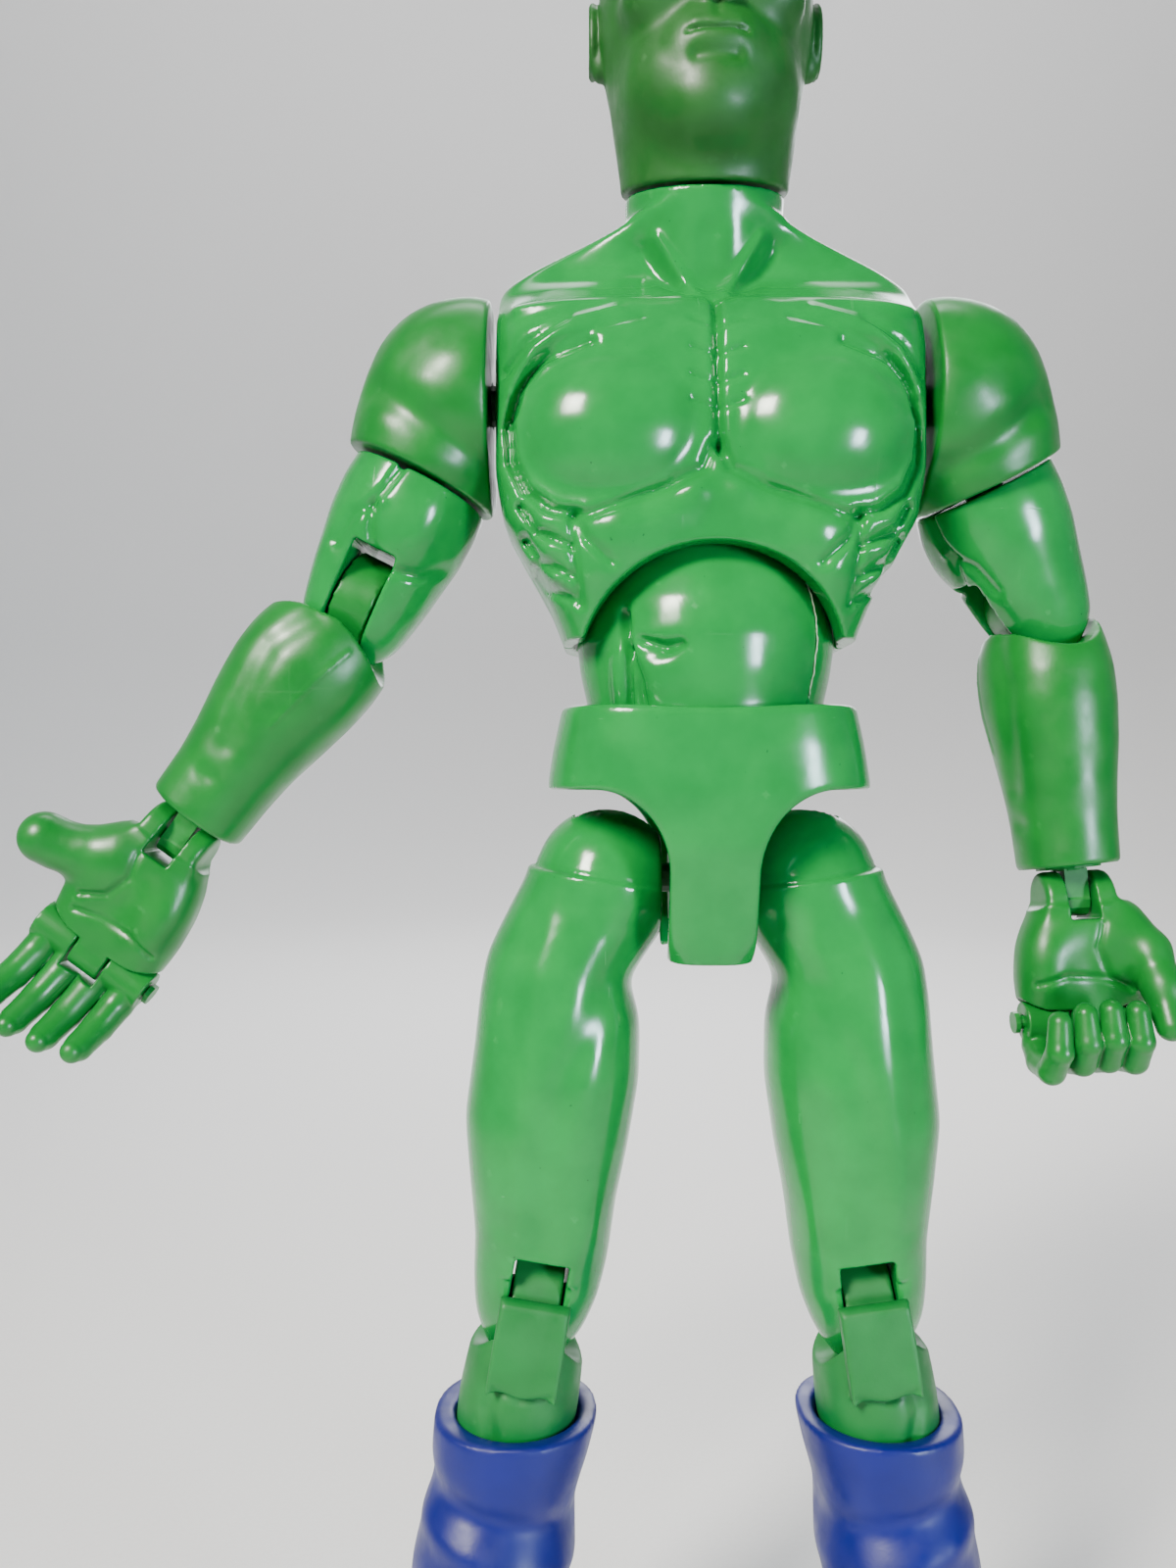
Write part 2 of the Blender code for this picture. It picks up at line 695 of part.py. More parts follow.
def fingers(limb):
    """Four fingers on one hinged knuckle bar."""
    frame = knuckle_frame(limb)
    name = limb["name"] + "_fingers"
    if limb["fist"]:
        body = rod(name, frame, "X", 3.0, -9.4, 5.5, 16)
        across = (-7.3, -3.65, 0.0, 3.65)
        path = ((0, 0), (-0.4, -3.4), (-3.4, -5.4), (-7.6, -5.4), (-10.4, -2.4), (-10.4, 2.0))
        radii = (1.9, 1.95, 1.95, 1.9, 1.85, 1.5)
    else:
        body = rod(name, frame, "X", 3.0, -9.4, 9.4, 16)
        across = (-7.1, -2.35, 2.35, 7.1)
        path = ((0, 0), (-0.6, -4.6), (-2.8, -8.8), (-5.8, -11.8), (-7.4, -12.6))
        radii = (2.45, 2.5, 2.35, 2.1, 1.3)
    for i, x in enumerate(across):
        along = [(x, y, z) for y, z in path]
        join(body, tube(f"{name}_{i}", frame, along, radii, 8, 0.98))
    cut(body, block(name + "_eye_slot", frame, -2.9, 2.9, -4.4, 4.4, -3.4, 4.4))
    cut(body, rod(name + "_bore", frame, "X", 1.08, -12, 12, 12))
    return finish(body, GREEN_SATIN, 0.38)


def finger_pin(limb):
    s = limb["side"]
    frame = knuckle_frame(limb)
    x0, x1 = sorted((s * (5.2 if limb["fist"] else 9.2), -s * 10.0))
    body = rod(limb["name"] + "_finger_pin", frame, "X", 0.95, x0, x1, 12)
    x0, x1 = sorted((-s * 9.7, -s * 10.4))
    join(body, rod(limb["name"] + "_finger_pin_head", frame, "X", 1.6, x0, x1, 12))
    return finish(body, GREEN_SATIN, 0.38)


# ---------------------------------------------------------------- legs


def hip_link(limb):
    """Swings on its axle in the hip block and lets the thigh spread on its own pin."""
    s = limb["side"]
    frame = at(s * HIP_X, 0, HIP_Z)
    name = limb["name"] + "_hip_link"
    body = rod(name, frame, "Y", 5.4, -2.2, 2.2, 20)
    x0, x1 = sorted((-s * 14.0, -s * 2.0))
    join(body, rod(name + "_axle", frame, "X", 2.15, x0, x1))
    cut(body, rod(name + "_bore", frame, "Y", 1.62, -6, 6))
    return finish(body, INNER_GREY, 0.5)


def hip_pin(limb):
    body = rod(limb["name"] + "_hip_pin", at(limb["side"] * HIP_X, 0, HIP_Z), "Y", 1.5, -7.0, 7.0)
    return finish(body, INNER_GREY, 0.4)


def thigh(limb):
    s = limb["side"]
    frame = hip_frame(limb)
    knee = knee_frame(limb)
    name = limb["name"] + "_thigh"
    rows = [
        (10.3, -1.8, 1.8, -1.8, 1.8),
        (9.2, -4.9, 4.9, -4.9, 4.9),
        (6.6, -8.1, 8.1, -8.1, 8.1),
        (2.6, -10.1, 10.1, -10.1, 10.1),
        (-3.0, -9.4, 12.2, -10.4, 10.2),
        (-9.0, -7.6, 14.2, -11.4, 11.2),
        (-14.0, -6.6, 15.6, -12.2, 12.0),
        (-20.0, -8.5, 15.9, -12.8, 12.6),
        (-28.0, -9.6, 15.7, -13.0, 12.8),
        (-37.5, -9.6, 14.8, -12.4, 12.4),
        (-46.0, -9.3, 12.6, -11.4, 11.6),
        (-54.0, -9.4, 10.4, -9.8, 9.2),
        (-62.0, -8.2, 9.0, -8.0, 8.0),
        (-66.5, -7.2, 8.0, -6.6, 6.6),
        (-69.0, -6.0, 6.8, -3.9, 3.9),
        (-70.0, -5.0, 5.8, -1.2, 1.2),
    ]
    if s < 0:
        rows = [(z, -x1, -x0, y0, y1) for z, x0, x1, y0, y1 in rows]
    body = loft(name, rows, frame)
    x0, x1 = sorted((0, s * 6.6))
    cut(body, block(name + "_inner_face", WORLD, x0, x1, -30, 30, 137.5, 170))
    x0, x1 = sorted((-s * 20, s * 6.0))
    cut(body, block(name + "_hip_slot", frame, x0, x1, -2.55, 2.55, -6.0, 20))
    cut(body, rod(name + "_hip_bore", at(s * HIP_X, 0, HIP_Z), "Y", 1.55, -7.2, 7.2))
    cut(body, block(name + "_knee_slot", knee, -3.9, 3.9, -30, 30, -20, 7.7))
    cut(body, block(name + "_kneecap_room", knee, -5.5, 5.5, -30, -8.0, -20, 4.2))
    cut(body, rod(name + "_knee_bore", knee, "X", 1.85, -7.0, 7.0))
    return finish(body, GREEN_GLOSS, 0.22)


def knee_pin(limb):
    return finish(rod(limb["name"] + "_knee_pin", knee_frame(limb), "X", 1.8, -6.8, 6.8), INNER_GREY, 0.4)


def shin(limb):
    """The calf, with its kneecap and the core that fills the boot."""
    frame = knee_frame(limb)
    name = limb["name"] + "_shin"
    rows = [
        (-3.0, -7.6, 7.6, -8.6, 6.6),
        (-9.0, -8.4, 8.4, -9.6, 8.2),
        (-16.0, -8.7, 8.7, -9.6, 9.4),
        (-19.5, -8.5, 8.5, -9.4, 9.2),
        (-23.5, -7.6, 7.6, -8.2, 8.2),
        (-50.0, -6.8, 6.8, -7.6, 7.6),
        (-76.0, -6.8, 6.8, -7.6, 7.6),
    ]
    body = loft(name, rows, frame)
    cut(body, rod(name + "_knee_seat", frame, "X", KNEE_R + 0.45, -20, 20, 24))
    join(body, rod(name + "_eye", frame, "X", 7.2, -3.6, 3.6, 20))
    join(body, block(name + "_tongue", frame, -3.6, 3.6, -5.0, 5.0, -12.0, -2.0))
    cap = [
        (-10.0, -5.0, 5.0, -9.6, -6.6),
        (-5.0, -5.1, 5.1, -11.0, -8.5),
        (0.0, -5.0, 5.0, -11.2, -8.5),
        (2.4, -4.2, 4.2, -10.4, -8.6),
    ]
    join(body, loft(name + "_kneecap", cap, frame, 4.0, 16))
    join(body, block(name + "_kneecap_web", frame, -3.4, 3.4, -9.2, -4.0, -8.0, 1.2))
    cut(body, rod(name + "_bore", frame, "X", 1.92, -8, 8))
    return finish(body, GREEN_SHIN, 0.6)


def leg_line(limb, z):
    """How far out the leg's middle is at height z."""
    return limb["side"] * (HIP_X + (HIP_Z - z) * math.tan(math.radians(limb["leg_tilt"])))


def boot(limb):
    name = limb["name"] + "_boot"
    rows = [
        (0.0, 10.2, -32.0, 15.0),
        (1.2, 11.0, -33.2, 16.2),
        (5.0, 11.0, -33.4, 16.2),
        (9.0, 10.6, -32.0, 15.6),
        (14.0, 10.2, -27.0, 14.4),
        (20.0, 9.9, -19.0, 12.8),
        (28.0, 9.9, -13.6, 11.8),
        (38.0, 10.6, -12.6, 12.0),
        (50.0, 11.6, -12.6, 13.0),
        (60.0, 11.2, -11.8, 12.2),
        (67.0, 11.6, -12.0, 12.2),
        (70.0, 11.8, -12.2, 12.4),
        (71.2, 11.0, -11.5, 11.7),
    ]
    rings = []
    for z, half, y0, y1 in rows:
        # the foot stands under the heel rather than further out along the leg
        x = leg_line(limb, max(z, 12.0))
        rings.append(section(x - half, x + half, y0, y1, z, 2.4, ROUND))
    body = skin(name, rings, WORLD)
    room = [
        (-14.0, -10.0, 10.0, -10.8, 10.8),
        (-18.6, -9.4, 9.4, -10.2, 10.2),
        (-23.0, -8.2, 8.2, -8.8, 8.8),
        (-50.0, -7.2, 7.2, -8.0, 8.0),
        (-76.4, -7.2, 7.2, -8.0, 8.0),
    ]
    cut(body, loft(name + "_room", room, knee_frame(limb)))
    return finish(body, BOOT_BLUE, 0.5)


# ---------------------------------------------------------------- assembly


def build_body():
    for name, front in (("front", True), ("back", False)):
        pelvis_half("pelvis_" + name, front)
        abdomen_half("abdomen_" + name, front)
        chest_half("chest_" + name, front)
    hip_block()
    waist_post()
    waist_link()
    waist_cross()
    chest_post()
    neck_peg()
    head()


def build_arm(limb):
    shoulder(limb)
    shoulder_peg(limb)
    bicep_peg(limb)
    upper_arm(limb)
    elbow_pin(limb)
    forearm(limb)
    wrist_link(limb)
    wrist_pin(limb)
    palm(limb)
    finger_pin(limb)
    fingers(limb)


def build_leg(limb):
    hip_link(limb)
    hip_pin(limb)
    thigh(limb)
    knee_pin(limb)
    shin(limb)
    boot(limb)


def stand_on_origin():
    """Move the whole figure so that its bounding box stands over the origin."""
    for collection in (PARTS, CUTTERS):
        for ob in collection.objects:
            ob.location.x += STAND_X * MM
            ob.location.y += STAND_Y * MM


build_body()
for limb in (RIGHT, LEFT):
    build_arm(limb)
    build_leg(limb)
stand_on_origin()
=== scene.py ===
"""Looks of the jointed action figure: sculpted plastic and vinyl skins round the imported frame.

Each skin is shaped as a field of signed distances in the limb's own millimetre frame and then
turned into a mesh.  The frames repeat those of the CAD part, and the place on the floor is
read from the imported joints.
"""

import json
import math

import bmesh
import bpy
import numpy as np
import openvdb
from mathutils import Matrix, Vector


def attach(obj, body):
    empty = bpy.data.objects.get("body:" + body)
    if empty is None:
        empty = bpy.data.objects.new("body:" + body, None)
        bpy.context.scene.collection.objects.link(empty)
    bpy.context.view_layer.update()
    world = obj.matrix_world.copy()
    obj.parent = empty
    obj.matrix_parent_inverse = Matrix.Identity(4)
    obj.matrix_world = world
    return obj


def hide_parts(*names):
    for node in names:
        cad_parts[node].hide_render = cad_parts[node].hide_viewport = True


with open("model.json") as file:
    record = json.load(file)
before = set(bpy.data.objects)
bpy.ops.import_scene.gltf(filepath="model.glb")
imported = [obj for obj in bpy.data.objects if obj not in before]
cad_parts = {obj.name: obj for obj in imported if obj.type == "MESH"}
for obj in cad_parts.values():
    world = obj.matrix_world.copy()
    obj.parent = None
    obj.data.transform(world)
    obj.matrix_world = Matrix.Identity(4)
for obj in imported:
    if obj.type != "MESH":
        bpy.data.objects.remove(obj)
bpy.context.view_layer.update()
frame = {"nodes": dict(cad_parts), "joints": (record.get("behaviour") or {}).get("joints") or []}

MM = 0.001
JOINTS = {joint["name"]: joint for joint in frame["joints"]}
STAND = Vector((JOINTS["chest_bow"]["pos_m"][0] / MM, JOINTS["chest_bow"]["pos_m"][1] / MM, 0))

WAIST_Z = 183.0
ABDOMEN_TURN = -40.0
SHOULDER_X = 31.1
SHOULDER_Z = 218.6
NECK_Z = 249.5
NECK_TILT = 15.0
BICEP_X = 41.6
BICEP_Z = 207.15
ARM_TILT = 26.8
UPPER_ARM_LENGTH = 19.5
ELBOW_R = 7.8
FOREARM_LENGTH = 40.2
WRIST_DROP = 4.8
HIP_X = 14.5
HIP_Z = 149.0
THIGH_LENGTH = 62.0
KNEE_R = 8.0

RIGHT = {
    "name": "right",
    "side": -1,
    "swing": 0.0,
    "twist": 0.0,
    "flex": 0.0,
    "carry": 11.1,
    "hand_tilt": 36.0,
    "hand_lift": 0.0,
    "knuckle_drop": 20.5,
    "leg_tilt": 9.6,
    "fist": False,
}
LEFT = {
    "name": "left",
    "side": 1,
    "swing": 10.0,
    "twist": 80.0,
    "flex": 23.0,
    "carry": 11.1,
    "hand_tilt": 3.0,
    "hand_lift": 6.0,
    "knuckle_drop": 17.5,
    "leg_tilt": 8.0,
    "fist": True,
}


# ---------------------------------------------------------------- frames


def at(x, y, z):
    return Matrix.Translation((x, y, z))


def turn(degrees, axis):
    return Matrix.Rotation(math.radians(degrees), 4, axis)


WORLD = Matrix.Identity(4)
NECK = at(0, 0, NECK_Z) @ turn(NECK_TILT, "X")


def shoulder_frame(limb):
    return at(limb["side"] * SHOULDER_X, 0, SHOULDER_Z) @ turn(limb["swing"], "X")


def bicep_frame(limb):
    s = limb["side"]
    reach = at(s * (BICEP_X - SHOULDER_X), 0, BICEP_Z - SHOULDER_Z)
    return shoulder_frame(limb) @ reach @ turn(-s * ARM_TILT, "Y")


def upper_arm_frame(limb):
    return bicep_frame(limb) @ turn(-limb["side"] * limb["twist"], "Z")


def elbow_frame(limb):
    return upper_arm_frame(limb) @ at(0, 0, -UPPER_ARM_LENGTH)


def forearm_frame(limb):
    return elbow_frame(limb) @ turn(-limb["flex"], "X") @ turn(-limb["side"] * limb["carry"], "Y")


def hand_frame(limb):
    middle = forearm_frame(limb) @ Vector((0, 0, -FOREARM_LENGTH - WRIST_DROP))
    return at(*middle) @ turn(-limb["side"] * limb["hand_tilt"], "Y") @ turn(-limb["hand_lift"], "X")


def knuckle_frame(limb):
    return hand_frame(limb) @ at(0, 0, -limb["knuckle_drop"])


def hip_frame(limb):
    s = limb["side"]
    return at(s * HIP_X, 0, HIP_Z) @ turn(-s * limb["leg_tilt"], "Y")


def knee_frame(limb):
    return hip_frame(limb) @ at(0, 0, -THIGH_LENGTH)


# ---------------------------------------------------------------- sculpting


def sided(s, points):
    """Points drawn for the left side, moved to side s."""
    return [(s * x, z) for x, z in points]


def low(a, b, k=0.0):
    """The nearer of two fields, rounded over k where they meet."""
    if k <= 0:
        return np.minimum(a, b)
    h = np.clip(0.5 + 0.5 * (b - a) / k, 0, 1)
    return b + (a - b) * h - k * h * (1 - h)


def high(a, b, k=0.0):
    return -low(-a, -b, k)


class Clay:
    """A body on a grid of points.  f is below zero inside it."""

    def __init__(self, corner, far, step):
        self.corner = np.array(corner, float)
        self.step = step
        counts = np.ceil((np.array(far, float) - self.corner) / step).astype(int) + 1
        axes = [(self.corner[i] + step * np.arange(counts[i])).astype(np.float32) for i in range(3)]
        self.x, self.y, self.z = np.meshgrid(*axes, indexing="ij", sparse=True)
        self.f = np.full(counts, 9.0, np.float32)

    def add(self, field, k=0.0):
        self.f = low(self.f, field, k)

    def carve(self, field, k=0.0):
        self.f = high(self.f, -field, k)

    def keep(self, field, k=0.0):
        self.f = high(self.f, field, k)

    def swell(self, amount):
        """Push the surface out where amount, in millimetres, is positive, and in where negative."""
        self.f = self.f - amount

    # fields

    def ball(self, centre, radii):
        if not hasattr(radii, "__len__"):
            radii = (radii, radii, radii)
        p = [(g - c) / r for g, c, r in zip((self.x, self.y, self.z), centre, radii)]
        q = [(g - c) / r**2 for g, c, r in zip((self.x, self.y, self.z), centre, radii)]
        k0 = np.sqrt(p[0] ** 2 + p[1] ** 2 + p[2] ** 2)
        k1 = np.sqrt(q[0] ** 2 + q[1] ** 2 + q[2] ** 2) + 1e-6
        return k0 * (k0 - 1) / k1

    def rod(self, a, b, ra, rb=None):
        """A rod with round ends from a to b."""
        rb = ra if rb is None else rb
        a = np.array(a, float)
        b = np.array(b, float)
        d = b - a
        t = ((self.x - a[0]) * d[0] + (self.y - a[1]) * d[1] + (self.z - a[2]) * d[2]) / (d @ d)
        t = np.clip(t, 0, 1)
        gap = (self.x - a[0] - t * d[0]) ** 2
        gap = gap + (self.y - a[1] - t * d[1]) ** 2 + (self.z - a[2] - t * d[2]) ** 2
        return np.sqrt(gap) - (ra + (rb - ra) * t)

    def drum(self, axis, centre, radius, half):
        grids = {"x": self.x, "y": self.y, "z": self.z}
        along = grids.pop(axis) - centre["xyz".index(axis)]
        across = [(g - centre["xyz".index(n)]) ** 2 for n, g in grids.items()]
        return high(np.sqrt(across[0] + across[1]) - radius, np.abs(along) - half)

    def block(self, x0, x1, y0, y1, z0, z1):
        dx = np.abs(self.x - 0.5 * (x0 + x1)) - 0.5 * (x1 - x0)
        dy = np.abs(self.y - 0.5 * (y0 + y1)) - 0.5 * (y1 - y0)
        dz = np.abs(self.z - 0.5 * (z0 + z1)) - 0.5 * (z1 - z0)
        return np.maximum(np.maximum(dx, dy), dz)

    def stack(self, rows, power=2.3, ease=1.6):
        """A body through level outlines: rows of (z, x0, x1, y0, y1), eased between them."""
        rows = sorted(rows)
        zs = np.array([row[0] for row in rows])
        z = self.z.ravel()
        fine = np.arange(zs[0] - 12, zs[-1] + 12, 0.2)
        kernel = np.exp(-((np.arange(-20, 21) * 0.2 / ease) ** 2))
        kernel /= kernel.sum()
        sides = []
        for k in range(1, 5):
            values = np.interp(fine, zs, [row[k] for row in rows])
            # carry the end slopes on so that easing doesn't round off the first and last outline
            padded = np.pad(values, 20, mode="reflect", reflect_type="odd")
            values = np.convolve(padded, kernel, mode="valid")
            sides.append(np.interp(z, fine, values).astype(np.float32).reshape(1, 1, -1))
        x0, x1, y0, y1 = sides
        hx = np.maximum(0.5 * (x1 - x0), 0.3)
        hy = np.maximum(0.5 * (y1 - y0), 0.3)
        px = np.abs(self.x - 0.5 * (x0 + x1)) / hx
        py = np.abs(self.y - 0.5 * (y0 + y1)) / hy
        body = ((px**power + py**power) ** (1 / power) - 1) * np.minimum(hx, hy)
        return np.maximum(body, np.maximum(zs[0] - self.z, self.z - zs[-1]))

    def trace(self, points, across="xz"):
        """How far each point is from a drawn line, seen along the axis that across leaves out."""
        grids = {"x": self.x, "y": self.y, "z": self.z}
        p = grids[across[0]]
        q = grids[across[1]]
        best = None
        for (a0, a1), (b0, b1) in zip(points[:-1], points[1:]):
            d0 = b0 - a0
            d1 = b1 - a1
            t = np.clip(((p - a0) * d0 + (q - a1) * d1) / (d0 * d0 + d1 * d1 + 1e-9), 0, 1)
            gap = (p - a0 - t * d0) ** 2 + (q - a1 - t * d1) ** 2
            best = gap if best is None else np.minimum(best, gap)
        return np.sqrt(best)

    def groove(self, points, width, depth, across="xz", where=1.0):
        """A soft groove along a drawn line; a negative depth makes a ridge."""
        self.swell(-depth * np.exp(-((self.trace(points, across) / width) ** 2)) * where)

    def bump(self, centre, radii, height):
        """A soft swelling."""
        p = [((g - c) / r) ** 2 for g, c, r in zip((self.x, self.y, self.z), centre, radii)]
        self.swell(height * np.exp(-(p[0] + p[1] + p[2])))

    def front(self, level=0.0, width=1.5):
        """1 on the side that faces -Y, fading to 0 behind."""
        return 1 / (1 + np.exp((self.y - level) / width))

    def flip(self):
        """Turn the body into its mirror image in X."""
        count = self.f.shape[0]
        self.f = self.f[::-1].copy()
        self.corner[0] = -(self.corner[0] + self.step * (count - 1))
        x = self.corner[0] + self.step * np.arange(count)
        self.x = x.astype(np.float32).reshape(-1, 1, 1)

    def copy(self):
        other = Clay.__new__(Clay)
        other.__dict__.update(self.__dict__)
        return other


def placed(points, matrix):
    """Take points from a limb's own millimetre frame to their place on the floor, in metres."""
    spin = np.array(matrix.to_3x3())
    return (points @ spin.T + np.array(matrix.translation + STAND)) * MM


def skin(name, clay, matrix, body, material, nodes):
    """Mesh the clay, put it in place on its body, and hide the CAD nodes that it stands for."""
    grid = openvdb.FloatGrid(4.0)
    grid.copyFromArray(np.ascontiguousarray(np.clip(clay.f / clay.step, -3, 3), dtype=np.float32))
    points, triangles, quads = grid.convertToPolygons(0.0, 0.0)
    points = placed(points * clay.step + clay.corner, matrix)
    faces = quads if len(quads) else triangles
    a, b, c = (points[faces[:, i]].astype(float) for i in (0, 1, 2))
    if np.einsum("ij,ij->i", a, np.cross(b, c)).sum() < 0:
        faces = faces[:, ::-1]
    mesh = bpy.data.meshes.new(name)
    mesh.vertices.add(len(points))
    mesh.vertices.foreach_set("co", points.astype(np.float32).ravel())
    size = faces.shape[1]
    mesh.loops.add(faces.size)
    mesh.loops.foreach_set("vertex_index", faces.astype(np.int32).ravel())
    mesh.polygons.add(len(faces))
    mesh.polygons.foreach_set("loop_start", np.arange(0, faces.size, size, dtype=np.int32))
    mesh.update(calc_edges=True)
    mesh.validate()
    mesh.polygons.foreach_set("use_smooth", np.ones(len(mesh.polygons), bool))
    keep_largest(mesh)
    piece = bpy.data.objects.new(name, mesh)
    bpy.context.scene.collection.objects.link(piece)
    piece.data.materials.append(material)
    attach(piece, body)
    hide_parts(*nodes)
    return piece


def thread(name, points, radius, matrix, body, material):
    """A fine round thread whose thickness comes and goes a little."""
    steps = 6
    verts = []
    for i, (x, y, z) in enumerate(points):
        r = radius * (0.75 + 0.35 * math.sin(2.3 * i) * math.sin(0.7 * i))
        if i in (0, len(points) - 1):
            r = radius * 0.2
        for k in range(steps):
            a = 2 * math.pi * k / steps
            verts.append((x + r * math.cos(a), y + r * math.sin(a), z))
    faces = []
    for i in range(len(points) - 1):
        for k in range(steps):
            a = i * steps + k
            b = i * steps + (k + 1) % steps
            faces.append((a, b, b + steps, a + steps))
    faces.append(tuple(range(steps - 1, -1, -1)))
    faces.append(tuple(range(len(verts) - steps, len(verts))))
    mesh = bpy.data.meshes.new(name)
    mesh.from_pydata(placed(np.array(verts), matrix).tolist(), [], faces)
    mesh.polygons.foreach_set("use_smooth", [True] * len(faces))
    mesh.materials.append(material)
    piece = bpy.data.objects.new(name, mesh)
    bpy.context.scene.collection.objects.link(piece)
    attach(piece, body)
    return piece


def keep_largest(mesh):
    """Drop any crumb that a groove has cut off, so that each skin is one closed surface."""
    bm = bmesh.new()
    bm.from_mesh(mesh)
    seen = set()
    islands = []
    for start in bm.verts:
        if start.index in seen:
            continue
        island = [start]
        seen.add(start.index)
        for vert in island:
            for edge in vert.link_edges:
                other = edge.other_vert(vert)
                if other.index not in seen:
                    seen.add(other.index)
                    island.append(other)
        islands.append(island)
    islands.sort(key=len)
    crumbs = [vert for island in islands[:-1] if len(island) < 400 for vert in island]
    if crumbs:
        bmesh.ops.delete(bm, geom=crumbs, context="VERTS")
        bm.to_mesh(mesh)
    bm.free()


# ---------------------------------------------------------------- materials


def plastic(name, colour, roughness, bump=0.15, scratch=0.5, grain=0.0, speckle=0.0):
    """Coloured plastic with mottling, fine scratches, rubbed patches, a moulded grain and painted
    shade in its inward folds.
    """
    mat = bpy.data.materials.new(name)
    mat.use_nodes = True
    tree = mat.node_tree
    nodes = tree.nodes
    link = tree.links.new
    shader = nodes["Principled BSDF"]
    shader.inputs["IOR"].default_value = 1.5
    place = nodes.new("ShaderNodeTexCoord")

    def noise(scale, detail, stretch=(1, 1, 1), rough=0.5):
        mapping = nodes.new("ShaderNodeMapping")
        mapping.inputs["Scale"].default_value = stretch
        link(place.outputs["Object"], mapping.inputs["Vector"])
        node = nodes.new("ShaderNodeTexNoise")
        node.inputs["Scale"].default_value = scale
        node.inputs["Detail"].default_value = detail
        node.inputs["Roughness"].default_value = rough
        link(mapping.outputs["Vector"], node.inputs["Vector"])
        return node.outputs["Fac"]

    def ramp(value, start, end, dark=0.0, light=1.0):
        node = nodes.new("ShaderNodeMapRange")
        node.inputs["From Min"].default_value = start
        node.inputs["From Max"].default_value = end
        node.inputs["To Min"].default_value = dark
        node.inputs["To Max"].default_value = light
        link(value, node.inputs["Value"])
        return node.outputs["Result"]

    def math_node(operation, a, b):
        node = nodes.new("ShaderNodeMath")
        node.operation = operation
        for socket, value in zip(node.inputs, (a, b)):
            if isinstance(value, (int, float)):
                socket.default_value = value
            else:
                link(value, socket)
        return node.outputs["Value"]

    def mix(factor, a, b):
        node = nodes.new("ShaderNodeMix")
        node.data_type = "RGBA"
        link(factor, node.inputs["Factor"])
        for socket, value in ((node.inputs[6], a), (node.inputs[7], b)):
            if isinstance(value, tuple):
                socket.default_value = (*value, 1.0)
            else:
                link(value, socket)
        return node.outputs[2]

    # broad mottling of the moulded colour
    deep = tuple(c * 0.90 for c in colour)
    pale = tuple(min(1.0, c * 1.08 + 0.001) for c in colour)
    base = mix(ramp(noise(140, 3), 0.35, 0.65), deep, pale)
    # worn, slightly chalky edges, and painted shade that darkens the inward folds
    geometry = nodes.new("ShaderNodeNewGeometry")
    worn = tuple(min(1.0, c * 1.20 + 0.012) for c in colour)
    crease_shade_colour = tuple(c * 0.45 for c in colour)
    edge = ramp(geometry.outputs["Pointiness"], 0.52, 0.60)
    edge = math_node("MULTIPLY", edge, ramp(noise(700, 4), 0.4, 0.65, 0.0, 0.75))
    base = mix(edge, base, worn)
    # painted shade: where the surface folds inward its colour is darkened towards a deep tone
    crease_shade_mask = ramp(geometry.outputs["Pointiness"], 0.49, 0.42)
    crease_shade_mask = math_node("MULTIPLY", crease_shade_mask, ramp(noise(300, 3), 0.3, 0.7, 0.15, 0.7))
    base = mix(crease_shade_mask, base, crease_shade_colour)
    # long hair scratches in two directions
    fine_a = ramp(noise(900, 2, (1.0, 0.3, 0.03)), 0.70, 0.74)
    fine_b = ramp(noise(820, 2, (0.04, 0.4, 1.0)), 0.71, 0.75)
    lines = math_node("MAXIMUM", fine_a, fine_b)
    lines = math_node("MULTIPLY", lines, ramp(noise(90, 2), 0.45, 0.6))
    base = mix(math_node("MULTIPLY", lines, 0.35 * scratch), base, worn)
    if speckle:
        specks = ramp(noise(1500, 1), 0.80, 0.82)
        base = mix(math_node("MULTIPLY", specks, speckle), base, (0.02, 0.02, 0.02))
    link(base, shader.inputs["Base Color"])
    # rubbed patches shine less
    rubbed = ramp(noise(230, 4), 0.35, 0.75, roughness * 0.82, roughness * 1.35)
    rough = math_node("ADD", rubbed, math_node("MULTIPLY", lines, 0.18 * scratch))
    rough = math_node("ADD", rough, math_node("MULTIPLY", edge, 0.10))
    link(rough, shader.inputs["Roughness"])
    # height: slow waviness of the moulding, grain and scratches
    height = math_node("MULTIPLY", noise(260, 2), 0.00003)
    grit = 0.000004 + 0.00002 * grain
    height = math_node("ADD", height, math_node("MULTIPLY", noise(2600, 3), grit))
    height = math_node("SUBTRACT", height, math_node("MULTIPLY", lines, 0.000012 * scratch))
    node = nodes.new("ShaderNodeBump")
    node.inputs["Strength"].default_value = bump
    node.inputs["Distance"].default_value = 1.0
    link(height, node.inputs["Height"])
    link(node.outputs["Normal"], shader.inputs["Normal"])
    return mat


HARD = plastic("hard_green", (0.0010, 0.245, 0.040), 0.17, bump=0.4, scratch=0.7, speckle=0.6)
SOFT = plastic("soft_green", (0.0015, 0.170, 0.020), 0.34, bump=0.5, scratch=0.4, grain=0.4)
PALE = plastic("pale_green", (0.0015, 0.165, 0.026), 0.50, bump=0.6, scratch=0.3, grain=0.8)
HEAD = plastic("head_green", (0.008, 0.110, 0.012), 0.46, bump=0.5, scratch=0.4, grain=0.5)
BLUE = plastic("blue_vinyl", (0.0004, 0.0045, 0.150), 0.42, bump=0.6, scratch=0.5, grain=0.6)
GLUE = plastic("dried_glue", (0.30, 0.46, 0.30), 0.5)
INNER = plastic("inner_plastic", (0.004, 0.110, 0.020), 0.45, bump=0.5, scratch=0.3)


# ---------------------------------------------------------------- chest

